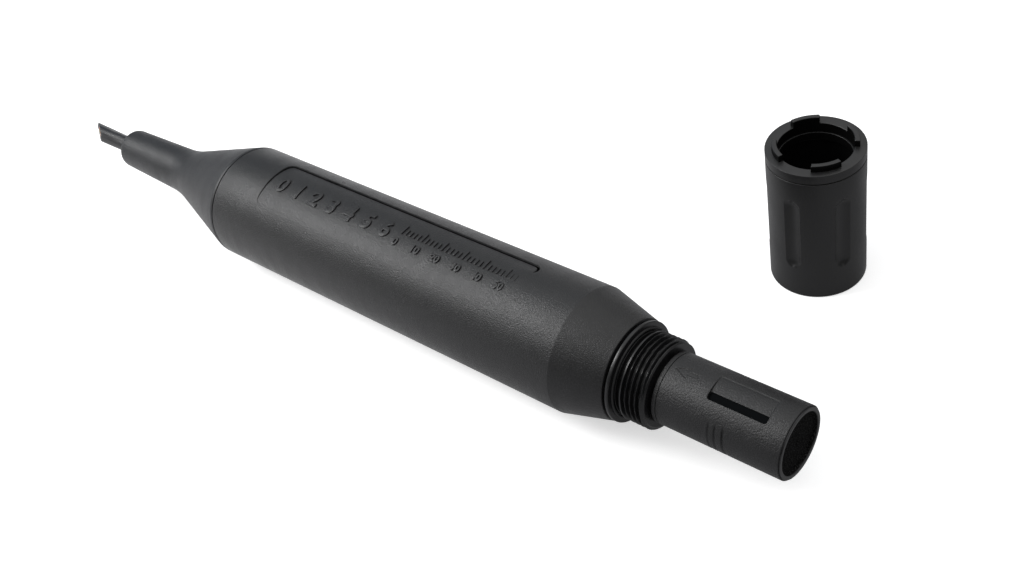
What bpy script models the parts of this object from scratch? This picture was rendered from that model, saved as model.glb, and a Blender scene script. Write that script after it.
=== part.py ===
"""Optical water quality probe with its screw-on guard, as separate pieces.

The probe lies along +X with its nose at the origin. The guard stands beside it, mouth down.
The origin is the centre of the sensing foil's outer face. Lengths are metres.
"""

import math

import bmesh
import bpy
from mathutils import Matrix, Vector

MM = 0.001
GAP = 0.3 * MM

# Driving dimensions
BODY_R = 23.5 * MM
BODY_LENGTH = 176.8 * MM
TAPER_LENGTH = 18.9 * MM
TAPER_END_R = 18.5 * MM
WALL = 3.3 * MM
CAP_R = 12.78 * MM
CAP_LENGTH = 47.4 * MM
CAP_BORE_R = 11.1 * MM
NOSE_STAND_OUT = 1.2 * MM
FOIL_R = 10.16 * MM
THREAD_R = 16.0 * MM
THREAD_TURNS = 5
THREAD_LENGTH = 9.9 * MM
FLANGE_R = 18.3 * MM
FLANGE_THICKNESS = 1.4 * MM
FLANGE_SHADOW_GAP = 0.9 * MM
BOOT_LENGTH = 86.8 * MM
BOOT_NECK_R = 9.7 * MM
BOOT_END_R = 8.55 * MM
CABLE_R = 3.9 * MM
CABLE_BORE_R = 4.3 * MM
CABLE_STUB = 31.5 * MM
GUARD_R = 17.65 * MM
GUARD_HEIGHT = 56.8 * MM
GUARD_BORE_R = 13.2 * MM
GUARD_RING_HEIGHT = 3.6 * MM
GUARD_TAB_HEIGHT = 2.5 * MM
GUARD_SIDE_OFFSET = 96.0 * MM
GUARD_WAITING_GAP = 50.0 * MM
FLUTE_COUNT = 6
FLUTE_HEADING = math.radians(-29.7)
TAB_HEADING = math.radians(-46.0)

# Stations along the probe's axis
CAP_BASE_X = NOSE_STAND_OUT - CAP_LENGTH
THREAD_END_X = CAP_BASE_X - 1.1 * MM
THREAD_START_X = THREAD_END_X - THREAD_LENGTH
SEAL_SEAT_FRONT_X = THREAD_START_X - 0.9 * MM
FLANGE_FRONT_X = SEAL_SEAT_FRONT_X - 1.4 * MM
FLANGE_REAR_X = FLANGE_FRONT_X - FLANGE_THICKNESS
HOUSING_FRONT_X = FLANGE_REAR_X - FLANGE_SHADOW_GAP
TAPER_REAR_X = HOUSING_FRONT_X - TAPER_LENGTH
SEAM_X = TAPER_REAR_X - BODY_LENGTH
HOUSING_REAR_X = SEAM_X + GAP / 2
BOOT_FRONT_X = SEAM_X - GAP / 2
BOOT_REAR_X = SEAM_X - BOOT_LENGTH
CABLE_INNER_X = SEAM_X + 13.5 * MM
CABLE_BEND_X = BOOT_REAR_X - 1.5 * MM
CABLE_CUT_X = BOOT_REAR_X - CABLE_STUB

HOUSING_BORE_R = BODY_R - WALL
FRONT_BORE_R = 15.9 * MM
HEAD_BORE_R = 10.7 * MM
STEM_R = HEAD_BORE_R - GAP
STEM_BORE_R = 8.2 * MM
STEM_REAR_X = FLANGE_FRONT_X + 1.3 * MM
STEM_FRONT_X = -5.7 * MM
BOARD_TOP_Z = 0.0
BOARD_THICKNESS = 1.6 * MM

SEGMENTS = 48
TABLE_Z = -BODY_R * math.cos(math.pi / SEGMENTS)
GUARD_FOOT = Vector((THREAD_END_X, GUARD_SIDE_OFFSET, TABLE_Z))

PARTS = "water_quality_probe"
CUTTERS = "cutters"


# Scene and materials


def clear_scene():
    for item in list(bpy.data.objects):
        bpy.data.objects.remove(item, do_unlink=True)


def collection(name):
    found = bpy.data.collections.get(name)
    if found is None:
        found = bpy.data.collections.new(name)
        bpy.context.scene.collection.children.link(found)
    return found


def material(name, colour, roughness, metallic=0.0):
    made = bpy.data.materials.new(name)
    made.use_nodes = True
    made.diffuse_color = (*colour, 1.0)
    shader = made.node_tree.nodes["Principled BSDF"]
    shader.inputs["Base Color"].default_value = (*colour, 1.0)
    shader.inputs["Roughness"].default_value = roughness
    shader.inputs["Metallic"].default_value = metallic
    return made


BLACK_PLASTIC = (0.035, 0.036, 0.04)
DARK_PLASTIC = (0.02, 0.02, 0.022)
BLACK_RUBBER = (0.015, 0.015, 0.016)
WHITE_PLASTIC = (0.7, 0.7, 0.68)
STEEL = (0.6, 0.6, 0.6)


# Object builders


def add_object(name, mesh, finish, group=PARTS):
    made = bpy.data.objects.new(name, mesh)
    collection(group).objects.link(made)
    if finish:
        mesh.materials.append(material(name, *finish))
    if group == CUTTERS:
        made.hide_render = True
        made.display_type = "WIRE"
    return made


def axis_turn(axis):
    """Rotation that lays a shape turned about Z along the probe (X) or leaves it upright (Z)."""
    half_step = Matrix.Rotation(math.pi / SEGMENTS, 3, "Z")
    if axis == "X":
        return (Matrix.Rotation(math.pi / 2, 3, "Y") @ half_step).to_euler()
    return half_step.to_euler()


def turned(name, outline, finish, axis="X", at=(0, 0, 0), closed=True, steps=SEGMENTS, group=PARTS):
    """A turned piece. The outline is (station, radius) points, from the front down the outside."""
    mesh = bpy.data.meshes.new(name)
    points = [(radius, 0.0, station) for station, radius in outline]
    edges = [(i, i + 1) for i in range(len(points) - 1)]
    if closed:
        edges.append((len(points) - 1, 0))
    mesh.from_pydata(points, edges, [])
    made = add_object(name, mesh, finish, group)
    made.location = at
    made.rotation_euler = axis_turn(axis)
    screw = made.modifiers.new("turn", "SCREW")
    screw.steps = steps
    screw.render_steps = steps
    screw.use_merge_vertices = True
    screw.merge_threshold = 0.00001
    screw.use_smooth_shade = True
    return made


def tube(name, front, rear, outer, inner, finish, **options):
    return turned(name, [(front, outer), (rear, outer), (rear, inner), (front, inner)], finish, **options)


def disc(name, front, rear, radius, finish, **options):
    outline = [(front, 0.0), (front, radius), (rear, radius), (rear, 0.0)]
    return turned(name, outline, finish, closed=False, **options)


def box(name, centre, size, finish, group=PARTS, bevel=0.0):
    mesh = bpy.data.meshes.new(name)
    shape = bmesh.new()
    bmesh.ops.create_cube(shape, size=1.0)
    bmesh.ops.scale(shape, vec=Vector(size), verts=shape.verts)
    shape.to_mesh(mesh)
    shape.free()
    made = add_object(name, mesh, finish, group)
    made.location = centre
    if bevel:
        rounding = made.modifiers.new("rounding", "BEVEL")
        rounding.width = bevel
        rounding.segments = 2
    return made


def quarter_dome(radius, steps):
    """Outline of a round end, from its tip on the axis to its full radius."""
    outline = [(radius, 0.0)]
    for step in range(1, steps + 1):
        angle = math.pi / 2 * step / steps
        outline.append((radius * math.cos(angle), radius * math.sin(angle)))
    return outline


def peg(name, centre, radius, length, axis, finish, group=PARTS, sides=20):
    """A round bar along X or Z."""
    mesh = bpy.data.meshes.new(name)
    shape = bmesh.new()
    bmesh.ops.create_cone(
        shape, cap_ends=True, segments=sides, radius1=radius, radius2=radius, depth=length
    )
    shape.to_mesh(mesh)
    shape.free()
    made = add_object(name, mesh, finish, group)
    made.location = centre
    if axis == "X":
        made.rotation_euler = (0.0, math.pi / 2, 0.0)
    return made


def ring_seal(name, station, centre_radius, thickness_radius, finish=(BLACK_RUBBER, 0.6)):
    """An O-ring around the probe's axis."""
    bpy.ops.mesh.primitive_torus_add(
        major_segments=30,
        minor_segments=6,
        major_radius=centre_radius,
        minor_radius=thickness_radius,
    )
    made = bpy.context.active_object
    for other in list(made.users_collection):
        other.objects.unlink(made)
    collection(PARTS).objects.link(made)
    made.name = name
    made.data.name = name
    made.data.materials.append(material(name, *finish))
    made.location = (station, 0.0, 0.0)
    made.rotation_euler = (0.0, math.pi / 2, 0.0)
    return made


def combine(target, tool, operation="DIFFERENCE"):
    step = target.modifiers.new(operation.lower(), "BOOLEAN")
    step.operation = operation
    step.object = tool
    step.solver = "EXACT"
    return target


def cord(name, points, radius, finish):
    """A wire along a list of points."""
    curve = bpy.data.curves.new(name, "CURVE")
    curve.dimensions = "3D"
    curve.bevel_depth = radius
    curve.bevel_resolution = 2
    curve.use_fill_caps = True
    curve.resolution_u = 1
    curve.render_resolution_u = 0
    path = curve.splines.new("POLY")
    path.points.add(len(points) - 1)
    for slot, place in zip(path.points, points):
        slot.co = (*place, 1.0)
    made = bpy.data.objects.new(name, curve)
    collection(PARTS).objects.link(made)
    curve.materials.append(material(name, *finish))
    return made


def empty(name, place):
    made = bpy.data.objects.new(name, None)
    collection(PARTS).objects.link(made)
    made.location = place
    return made


def adopt(parent, children):
    """Hangs pieces on an empty without moving them."""
    for child in children:
        child.parent = parent
        child.location = Vector(child.location) - Vector(parent.location)


def label_cutter(name, outer, floor, front, rear, width, tilt):
    """A cutter that follows the round surface down to a floor radius, within a rounded rectangle."""
    middle = (front + rear) / 2
    shell = tube(name, front + MM, rear - MM, outer, floor, None, group=CUTTERS)
    window_size = (front - rear, width, outer * 1.5)
    aim = Matrix.Rotation(tilt, 3, "X")
    window = box(name + "_window", (middle, 0, 0), window_size, None, CUTTERS)
    window.location = Vector((middle, 0, 0)) + aim @ Vector((0, 0, outer * 0.75 + floor * 0.3))
    window.rotation_euler = (tilt, 0.0, 0.0)
    return combine(shell, window, "INTERSECT")


# Housing and sensor head


def make_housing():
    outline = [
        (HOUSING_FRONT_X, TAPER_END_R - 0.3 * MM),
        (HOUSING_FRONT_X - 0.3 * MM, TAPER_END_R),
        (TAPER_REAR_X, BODY_R),
        (HOUSING_REAR_X + 0.3 * MM, BODY_R),
        (HOUSING_REAR_X, BODY_R - 0.3 * MM),
        (HOUSING_REAR_X, HOUSING_BORE_R),
        (TAPER_REAR_X - 4.3 * MM, HOUSING_BORE_R),
        (HOUSING_FRONT_X - 12.5 * MM, FRONT_BORE_R),
        (HOUSING_FRONT_X, FRONT_BORE_R),
    ]
    housing = turned("housing", outline, (BLACK_PLASTIC, 0.42))
    panel = label_cutter(
        "panel_recess",
        outer=BODY_R + 1 * MM,
        floor=BODY_R - 0.4 * MM,
        front=SEAM_X + 153.5 * MM,
        rear=SEAM_X + 23.4 * MM,
        width=23.4 * MM,
        tilt=math.radians(8),
    )
    return combine(housing, panel)


def thread_ridges(top, count):
    """Outline of the thread's ridges, from the front face back to the neck."""
    root_r = THREAD_R - 1.2 * MM
    pitch = THREAD_LENGTH / count
    flat = pitch * 0.1
    points = [(top, root_r)]
    for turn in range(count):
        middle = top - (turn + 0.5) * pitch
        points += [
            (middle + flat, THREAD_R),
            (middle - flat, THREAD_R),
            (middle - pitch / 2, root_r),
        ]
    return points


def make_threaded_head():
    spigot_r = FRONT_BORE_R - 0.4 * MM
    groove_r = 13.9 * MM
    neck_r = THREAD_R - 1.8 * MM
    seal_seat_r = 15.3 * MM
    rear_x = FLANGE_REAR_X - 12.8 * MM
    groove_front = FLANGE_REAR_X - 4.8 * MM
    groove_rear = groove_front - 2.6 * MM
    outline = thread_ridges(THREAD_END_X, THREAD_TURNS)
    outline += [
        (THREAD_START_X, neck_r),
        (SEAL_SEAT_FRONT_X, neck_r),
        (SEAL_SEAT_FRONT_X, seal_seat_r),
        (FLANGE_FRONT_X, seal_seat_r),
        (FLANGE_FRONT_X, FLANGE_R - 0.3 * MM),
        (FLANGE_FRONT_X - 0.3 * MM, FLANGE_R),
        (FLANGE_REAR_X + 0.3 * MM, FLANGE_R),
        (FLANGE_REAR_X, FLANGE_R - 0.3 * MM),
        (FLANGE_REAR_X, spigot_r),
        (groove_front, spigot_r),
        (groove_front, groove_r),
        (groove_rear, groove_r),
        (groove_rear, spigot_r),
        (rear_x + 0.5 * MM, spigot_r),
        (rear_x, spigot_r - 0.5 * MM),
        (rear_x, 7.5 * MM),
        (STEM_REAR_X - GAP, 7.5 * MM),
        (STEM_REAR_X - GAP, HEAD_BORE_R),
        (THREAD_END_X, HEAD_BORE_R),
    ]
    turned("threaded_head", outline, (DARK_PLASTIC, 0.4), steps=36)
    ring_seal("head_o_ring", (groove_front + groove_rear) / 2, 14.9 * MM, 0.7 * MM)
    ring_seal("neck_o_ring", FLANGE_FRONT_X + 0.8 * MM, 16.1 * MM, 0.5 * MM)


def make_sensor_stem():
    groove_r = STEM_R - 1.1 * MM
    outline = [(STEM_FRONT_X, STEM_R - 0.5 * MM), (STEM_FRONT_X - 0.5 * MM, STEM_R)]
    for station in (-12 * MM, -40 * MM):
        outline += [
            (station + 1.2 * MM, STEM_R),
            (station + 1.2 * MM, groove_r),
            (station - 1.2 * MM, groove_r),
            (station - 1.2 * MM, STEM_R),
        ]
    outline += [(STEM_REAR_X, STEM_R), (STEM_REAR_X, STEM_BORE_R), (STEM_FRONT_X, STEM_BORE_R)]
    turned("sensor_stem", outline, (DARK_PLASTIC, 0.45), steps=30)
    ring_seal("stem_o_ring_front", -12 * MM, 10.2 * MM, 0.6 * MM)
    ring_seal("stem_o_ring_rear", -40 * MM, 10.2 * MM, 0.6 * MM)


def make_optics():
    window_rear = STEM_FRONT_X - 1.6 * MM
    block_front = window_rear - GAP
    block_rear = block_front - 14.5 * MM
    disc("optic_window", STEM_FRONT_X - 0.3 * MM, window_rear, 7.9 * MM, ((0.75, 0.8, 0.82), 0.05), steps=32)
    block = disc("optics_block", block_front, block_rear, 7.9 * MM, (DARK_PLASTIC, 0.5), steps=32)
    middle = (block_front + block_rear) / 2
    bores = {
        "detector_bore": (0.0, 0.0, 2.8 * MM),
        "left_light_bore": (5.3 * MM, 0.0, 1.8 * MM),
        "right_light_bore": (-5.3 * MM, 0.0, 1.8 * MM),
        "thermistor_bore": (0.0, 5.3 * MM, 1.3 * MM),
    }
    for name, (y, z, radius) in bores.items():
        combine(block, peg(name, (middle, y, z), radius, 18 * MM, "X", None, CUTTERS))
    light_x = block_front - 4 * MM
    peg("blue_led", (light_x, 5.3 * MM, 0), 1.5 * MM, 5 * MM, "X", ((0.05, 0.2, 0.8), 0.2))
    peg("red_led", (light_x, -5.3 * MM, 0), 1.5 * MM, 5 * MM, "X", ((0.8, 0.05, 0.03), 0.2))
    peg("thermistor", (light_x, 0, 5.3 * MM), 0.9 * MM, 5 * MM, "X", ((0.1, 0.1, 0.1), 0.4))
    peg("optical_filter", (block_front - 1.2 * MM, 0, 0), 2.4 * MM, 1.2 * MM, "X", ((0.5, 0.06, 0.04), 0.1))
    peg("photodiode", (block_front - 3.8 * MM, 0, 0), 2.4 * MM, 3 * MM, "X", (STEEL, 0.3, 0.8))
    return block_rear


# Rear end: bulkhead, gland, boot and cable


def make_rear_bulkhead():
    spigot_r = HOUSING_BORE_R - GAP
    groove_r = spigot_r - 1.7 * MM
    front_x = SEAM_X + 11 * MM
    nipple_rear_x = SEAM_X - 12.5 * MM
    boot_seat_r = 19.0 * MM
    outline = [
        (front_x, spigot_r - 0.5 * MM),
        (front_x - 0.5 * MM, spigot_r),
        (SEAM_X + 6.9 * MM, spigot_r),
        (SEAM_X + 6.9 * MM, groove_r),
        (SEAM_X + 4.1 * MM, groove_r),
        (SEAM_X + 4.1 * MM, spigot_r),
        (SEAM_X, spigot_r),
        (SEAM_X, boot_seat_r),
        (SEAM_X - 4 * MM, boot_seat_r - 0.5 * MM),
        (SEAM_X - 4 * MM, 8.0 * MM),
        (nipple_rear_x, 8.0 * MM),
        (nipple_rear_x, 6.2 * MM),
        (SEAM_X - 4.5 * MM, 6.2 * MM),
        (SEAM_X - 4.5 * MM, CABLE_BORE_R),
        (front_x, CABLE_BORE_R),
    ]
    turned("rear_bulkhead", outline, (DARK_PLASTIC, 0.45), steps=36)
    ring_seal("rear_o_ring", SEAM_X + 5.5 * MM, groove_r + 1.0 * MM, 0.7 * MM)
    tube(
        "gland_grommet",
        SEAM_X - 4.8 * MM,
        nipple_rear_x,
        5.9 * MM,
        4.2 * MM,
        (BLACK_RUBBER, 0.7),
        steps=32,
    )
    washer_front = nipple_rear_x - GAP
    washer_rear = washer_front - 1 * MM
    tube("gland_washer", washer_front, washer_rear, 7.6 * MM, 4.4 * MM, (STEEL, 0.3, 1.0), steps=32)
    make_gland_nut(washer_rear - GAP)


def make_gland_nut(seat_x):
    """A hexagonal cap nut over the bulkhead's nipple."""
    front_x = SEAM_X - 5 * MM
    rear_x = seat_x - 3.5 * MM
    nut = peg(
        "gland_nut",
        ((front_x + rear_x) / 2, 0, 0),
        11.5 * MM,
        front_x - rear_x,
        "X",
        (DARK_PLASTIC, 0.4),
        sides=6,
    )
    bore = [
        (front_x + MM, 0.0),
        (front_x + MM, 8.4 * MM),
        (seat_x, 8.4 * MM),
        (seat_x, CABLE_BORE_R),
        (rear_x - MM, CABLE_BORE_R),
        (rear_x - MM, 0.0),
    ]
    combine(nut, turned("gland_nut_bore", bore, None, closed=False, steps=32, group=CUTTERS))


def make_boot():
    """The moulded strain relief: a bell that draws in to a slender sleeve around the cable."""
    cone_slope = 0.33
    cone_front = SEAM_X - 2.4 * MM
    fillet_steps = 4
    corner_x = cone_front - (BODY_R - BOOT_NECK_R) / cone_slope
    reach = 7 * MM
    outline = [(BOOT_FRONT_X, BODY_R - 0.3 * MM), (BOOT_FRONT_X - 0.3 * MM, BODY_R)]
    outline += [(cone_front + 1 * MM, BODY_R), (cone_front - 1.2 * MM, BODY_R - 0.5 * MM)]
    for step in range(fillet_steps + 1):
        share = step / fillet_steps
        along = corner_x + reach * (1 - 2 * share)
        blend = reach * (1 - share) ** 2
        outline.append((along, BOOT_NECK_R + cone_slope * blend))
    outline += [
        (BOOT_REAR_X + 2.5 * MM, BOOT_END_R + 0.1 * MM),
        (BOOT_REAR_X + 0.7 * MM, BOOT_END_R - 0.7 * MM),
        (BOOT_REAR_X, BOOT_END_R - 2.4 * MM),
        (BOOT_REAR_X, 5.0 * MM),
        (BOOT_REAR_X + 2 * MM, CABLE_BORE_R),
        (SEAM_X - 23 * MM, CABLE_BORE_R),
        (SEAM_X - 22 * MM, 13.0 * MM),
        (SEAM_X - 6 * MM, 19.3 * MM),
        (BOOT_FRONT_X, 19.3 * MM),
    ]
    turned("strain_relief_boot", outline, (BLACK_PLASTIC, 0.5))


def make_cable():
    fixed_rear_x = CABLE_BEND_X + CABLE_R + GAP
    disc("cable", CABLE_INNER_X, fixed_rear_x, CABLE_R, (BLACK_RUBBER, 0.5), steps=24)
    outline = quarter_dome(CABLE_R, 5)
    outline += [(CABLE_CUT_X - CABLE_BEND_X, CABLE_R), (CABLE_CUT_X - CABLE_BEND_X, 0.0)]
    turned(
        "cable_tail",
        outline,
        (BLACK_RUBBER, 0.5),
        at=(CABLE_BEND_X, 0, 0),
        closed=False,
        steps=24,
    )


# Electronics inside the housing


def make_board(front_x, rear_x):
    middle = (front_x + rear_x) / 2
    board = box(
        "circuit_board",
        (middle, 0, BOARD_TOP_Z - BOARD_THICKNESS / 2),
        (front_x - rear_x, 30 * MM, BOARD_THICKNESS),
        ((0.02, 0.16, 0.06), 0.4),
    )
    corners = [
        (front_x - 4 * MM, 12 * MM),
        (front_x - 4 * MM, -12 * MM),
        (rear_x + 4 * MM, 12 * MM),
        (rear_x + 4 * MM, -12 * MM),
    ]
    for number, (x, y) in enumerate(corners, start=1):
        hole = peg(f"board_hole_{number}", (x, y, 0), 1.6 * MM, 8 * MM, "Z", None, CUTTERS)
        combine(board, hole)
        make_board_screw(f"board_screw_{number}", x, y)
    return corners


def make_board_screw(name, x, y):
    outline = [
        (2.0 * MM, 0.0),
        (2.0 * MM, 2.2 * MM),
        (0.3 * MM, 2.6 * MM),
        (0.3 * MM, 1.2 * MM),
        (-5.5 * MM, 1.2 * MM),
        (-6.0 * MM, 0.0),
    ]
    finish = (STEEL, 0.3, 1.0)
    turned(name, outline, finish, axis="Z", at=(x, y, BOARD_TOP_Z), closed=False, steps=16)


def make_board_sled(front_x, rear_x, corners):
    """A tray under the board, with a boss for each screw and a rib at each end."""
    plate_z = -7 * MM
    length = front_x - rear_x + 8 * MM
    middle = (front_x + rear_x) / 2
    sled = box("board_sled", (middle, 0, plate_z), (length, 33 * MM, 2 * MM), (WHITE_PLASTIC, 0.5))
    for number, (x, y) in enumerate(corners, start=1):
        boss_top = BOARD_TOP_Z - BOARD_THICKNESS - GAP
        boss_height = boss_top - plate_z + 0.5 * MM
        boss_centre = (x, y, boss_top - boss_height / 2)
        boss = peg(f"sled_boss_{number}", boss_centre, 3.2 * MM, boss_height, "Z", None, CUTTERS)
        combine(sled, boss, "UNION")
    for name, x in (("sled_rib_front", front_x + 3 * MM), ("sled_rib_rear", rear_x - 3 * MM)):
        rib = disc(name, x + 1.5 * MM, x - 1.5 * MM, HOUSING_BORE_R - GAP, None, group=CUTTERS)
        lower = box(name + "_keep", (x, 0, -14.5 * MM), (8 * MM, 50 * MM, 22 * MM), None, CUTTERS)
        combine(sled, combine(rib, lower, "INTERSECT"), "UNION")
    for number, (x, y) in enumerate(corners, start=1):
        pilot = peg(f"sled_pilot_{number}", (x, y, -5 * MM), 1.5 * MM, 12 * MM, "Z", None, CUTTERS)
        combine(sled, pilot)


def on_board(name, x, y, size, finish, bevel=0.0):
    height = BOARD_TOP_Z + GAP + size[2] / 2
    return box(name, (x, y, height), size, finish, bevel=bevel)


def make_electronics(flex_front_x):
    front_x = TAPER_REAR_X - 22 * MM
    rear_x = SEAM_X + 26 * MM
    capacitor_height = 11 * MM
    inductor_height = 4.5 * MM
    corners = make_board(front_x, rear_x)
    make_board_sled(front_x, rear_x, corners)
    chip = ((0.02, 0.02, 0.02), 0.35)
    on_board("microcontroller", rear_x + 62 * MM, 0, (12 * MM, 12 * MM, 1.6 * MM), chip)
    on_board("signal_amplifier", rear_x + 92 * MM, -6 * MM, (6 * MM, 5 * MM, 1.6 * MM), chip)
    on_board("led_driver", rear_x + 92 * MM, 6 * MM, (6 * MM, 5 * MM, 1.6 * MM), chip)
    on_board("crystal", rear_x + 76 * MM, 0, (4 * MM, 11 * MM, 3 * MM), (STEEL, 0.25, 1.0), 0.8 * MM)
    on_board("surge_suppressor", rear_x + 22 * MM, -8 * MM, (7 * MM, 6 * MM, 2.4 * MM), chip)
    on_board("cable_connector", rear_x + 8 * MM, 0, (7 * MM, 11 * MM, 6 * MM), (WHITE_PLASTIC, 0.4))
    on_board("sensor_connector", front_x - 4 * MM, 0, (5 * MM, 9 * MM, 2.4 * MM), (WHITE_PLASTIC, 0.4))
    peg(
        "storage_capacitor",
        (rear_x + 36 * MM, 0, BOARD_TOP_Z + GAP + capacitor_height / 2),
        4 * MM,
        capacitor_height,
        "Z",
        ((0.05, 0.06, 0.12), 0.3),
    )
    peg(
        "power_inductor",
        (rear_x + 48 * MM, 6 * MM, BOARD_TOP_Z + GAP + inductor_height / 2),
        4 * MM,
        inductor_height,
        "Z",
        ((0.08, 0.08, 0.08), 0.6),
    )
    make_conductors(rear_x)
    make_flex_circuit(front_x - 1.5 * MM, flex_front_x)
    make_desiccant(front_x)


def make_conductors(board_rear_x):
    """The cable's four cores, from its cut jacket to the connector on the board."""
    start_x = CABLE_INNER_X + GAP
    end_x = board_rear_x + 4.5 * MM - GAP
    cores = {
        "wire_red": ((0.6, 0.02, 0.02), -1, 1, -1.2 * MM),
        "wire_black": ((0.02, 0.02, 0.02), -1, -1, -3.6 * MM),
        "wire_white": ((0.8, 0.8, 0.78), 1, 1, 1.2 * MM),
        "wire_green": ((0.02, 0.35, 0.08), 1, -1, 3.6 * MM),
    }
    for name, (colour, y_side, z_side, connector_y) in cores.items():
        start = Vector((start_x, y_side * 1.3 * MM, z_side * 1.3 * MM))
        end = Vector((end_x, connector_y, 3.3 * MM))
        points = [start, start + Vector((1.5 * MM, 0, 0))]
        for share in (0.25, 0.5, 0.75):
            ease = share * share * (3 - 2 * share)
            inner = start.lerp(end, share)
            inner.y = start.y + (end.y - start.y) * ease
            inner.z = start.z + (end.z - start.z) * ease
            points.append(inner)
        points += [end - Vector((1.5 * MM, 0, 0)), end]
        cord(name, points, 0.6 * MM, (colour, 0.5))


def make_flex_circuit(rear_x, front_x):
    """A ribbon from the board to the optics, dipping from the connector to the probe's axis."""
    width = 5 * MM
    steps = 10
    rest_z = 1.6 * MM
    mesh = bpy.data.meshes.new("flex_circuit")
    shape = bmesh.new()
    previous = None
    for step in range(steps + 1):
        share = step / steps
        x = rear_x + GAP + (front_x - rear_x - 2 * GAP) * share
        z = rest_z + 1.2 * MM * math.sin(share * math.pi)
        pair = [shape.verts.new((x, side * width / 2, z)) for side in (-1, 1)]
        if previous:
            shape.faces.new((previous[0], pair[0], pair[1], previous[1]))
        previous = pair
    shape.to_mesh(mesh)
    shape.free()
    ribbon = add_object("flex_circuit", mesh, ((0.55, 0.25, 0.04), 0.35))
    body = ribbon.modifiers.new("thickness", "SOLIDIFY")
    body.thickness = 0.4 * MM
    body.offset = 0.0


def make_desiccant(board_front_x):
    """A drying capsule that lies loose under the tray."""
    length = 14 * MM
    centre = Vector((board_front_x - 3 * MM - length / 2, 0, -13 * MM))
    outline = [
        (length / 2, 0.0),
        (length / 2, 3.0 * MM),
        (length / 2 - 1 * MM, 4.0 * MM),
        (-length / 2 + 1 * MM, 4.0 * MM),
        (-length / 2, 3.0 * MM),
        (-length / 2, 0.0),
    ]
    turned("desiccant_pack", outline, (WHITE_PLASTIC, 0.6), at=centre, closed=False, steps=20)


# Sensor cap


def make_cap_shell():
    front_x = 0.2 * MM
    insert_bore_r = 11.9 * MM
    band_x = CAP_BASE_X + 1.7 * MM
    outline = [
        (front_x, CAP_R - 0.35 * MM),
        (front_x - 0.4 * MM, CAP_R),
        (band_x, CAP_R),
        (band_x, CAP_R - 0.25 * MM),
        (band_x - 0.4 * MM, CAP_R - 0.25 * MM),
        (band_x - 0.4 * MM, CAP_R),
        (CAP_BASE_X + 0.3 * MM, CAP_R),
        (CAP_BASE_X, CAP_R - 0.3 * MM),
        (CAP_BASE_X, CAP_BORE_R + 0.4 * MM),
        (CAP_BASE_X + 0.6 * MM, CAP_BORE_R),
        (-3.7 * MM, CAP_BORE_R),
        (-3.7 * MM, insert_bore_r),
        (front_x, insert_bore_r),
    ]
    shell = turned("cap_shell", outline, (BLACK_PLASTIC, 0.5))
    pocket = label_cutter(
        "cap_pocket",
        outer=CAP_R + 1 * MM,
        floor=CAP_R - 0.6 * MM,
        front=SEAM_X + 251 * MM,
        rear=SEAM_X + 229.5 * MM,
        width=8.8 * MM,
        tilt=math.radians(9),
    )
    return combine(shell, pocket)


def make_sensor_cap():
    shell = make_cap_shell()
    ring_outline = [
        (NOSE_STAND_OUT, 12.1 * MM),
        (NOSE_STAND_OUT - 0.3 * MM, 12.4 * MM),
        (0.5 * MM, 12.4 * MM),
        (0.5 * MM, 11.6 * MM),
        (-3.4 * MM, 11.6 * MM),
        (-3.4 * MM, 9.6 * MM),
        (-2.4 * MM, 8.8 * MM),
        (-1.1 * MM, 8.8 * MM),
        (-1.1 * MM, FOIL_R + GAP),
        (NOSE_STAND_OUT, FOIL_R + GAP),
    ]
    ring = turned("foil_ring", ring_outline, (DARK_PLASTIC, 0.4), steps=36)
    foil = disc("sensing_foil", 0.0, -0.8 * MM, FOIL_R, ((0.012, 0.012, 0.014), 0.6))
    chip = tube("cap_memory_board", -4.1 * MM, -4.9 * MM, 10.7 * MM, 8.6 * MM, ((0.02, 0.16, 0.06), 0.4), steps=36)
    adopt(empty("cap_joint", (CAP_BASE_X, 0, 0)), [shell, ring, foil, chip])


# Guard


def guard_pivot():
    """A point on the axis that swings the standing guard into line with the nose.

    The turn takes +Z onto +X, so the axis leans equally to both. It has no travel along the axis.
    """
    waiting = Vector((NOSE_STAND_OUT + GUARD_WAITING_GAP, 0.0, 0.0))
    travel = waiting - GUARD_FOOT
    direction = Vector((1.0, -(travel.x + travel.z) / travel.y, 1.0)).normalized()
    start = Vector((0, 0, 1)) - direction * direction.z
    finish = Vector((1, 0, 0)) - direction * direction.x
    angle = start.angle(finish)
    middle = (waiting + GUARD_FOOT) / 2
    return middle + direction.cross(travel) / (2 * math.tan(angle / 2))


def make_guard_sleeve():
    thread_bore_r = THREAD_R + GAP
    bore_r = 14.2 * MM
    lip_r = GUARD_BORE_R - 0.1 * MM
    ring_z = GUARD_HEIGHT - GUARD_RING_HEIGHT
    outline = [
        (ring_z - GAP, GUARD_R - 0.15 * MM),
        (ring_z - GAP - 0.15 * MM, GUARD_R),
        (0.3 * MM, GUARD_R),
        (0.0, GUARD_R - 0.3 * MM),
        (0.0, thread_bore_r),
        (10.5 * MM, thread_bore_r),
        (12.0 * MM, bore_r),
        (ring_z - 4 * MM, bore_r),
        (ring_z - 3 * MM, lip_r),
        (ring_z - GAP, lip_r),
    ]
    sleeve = turned("guard_sleeve", outline, (DARK_PLASTIC, 0.35), axis="Z", at=GUARD_FOOT)
    for number in range(FLUTE_COUNT):
        heading = FLUTE_HEADING + math.tau * number / FLUTE_COUNT
        combine(sleeve, make_flute_cutter(number, heading))
    return sleeve


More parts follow.
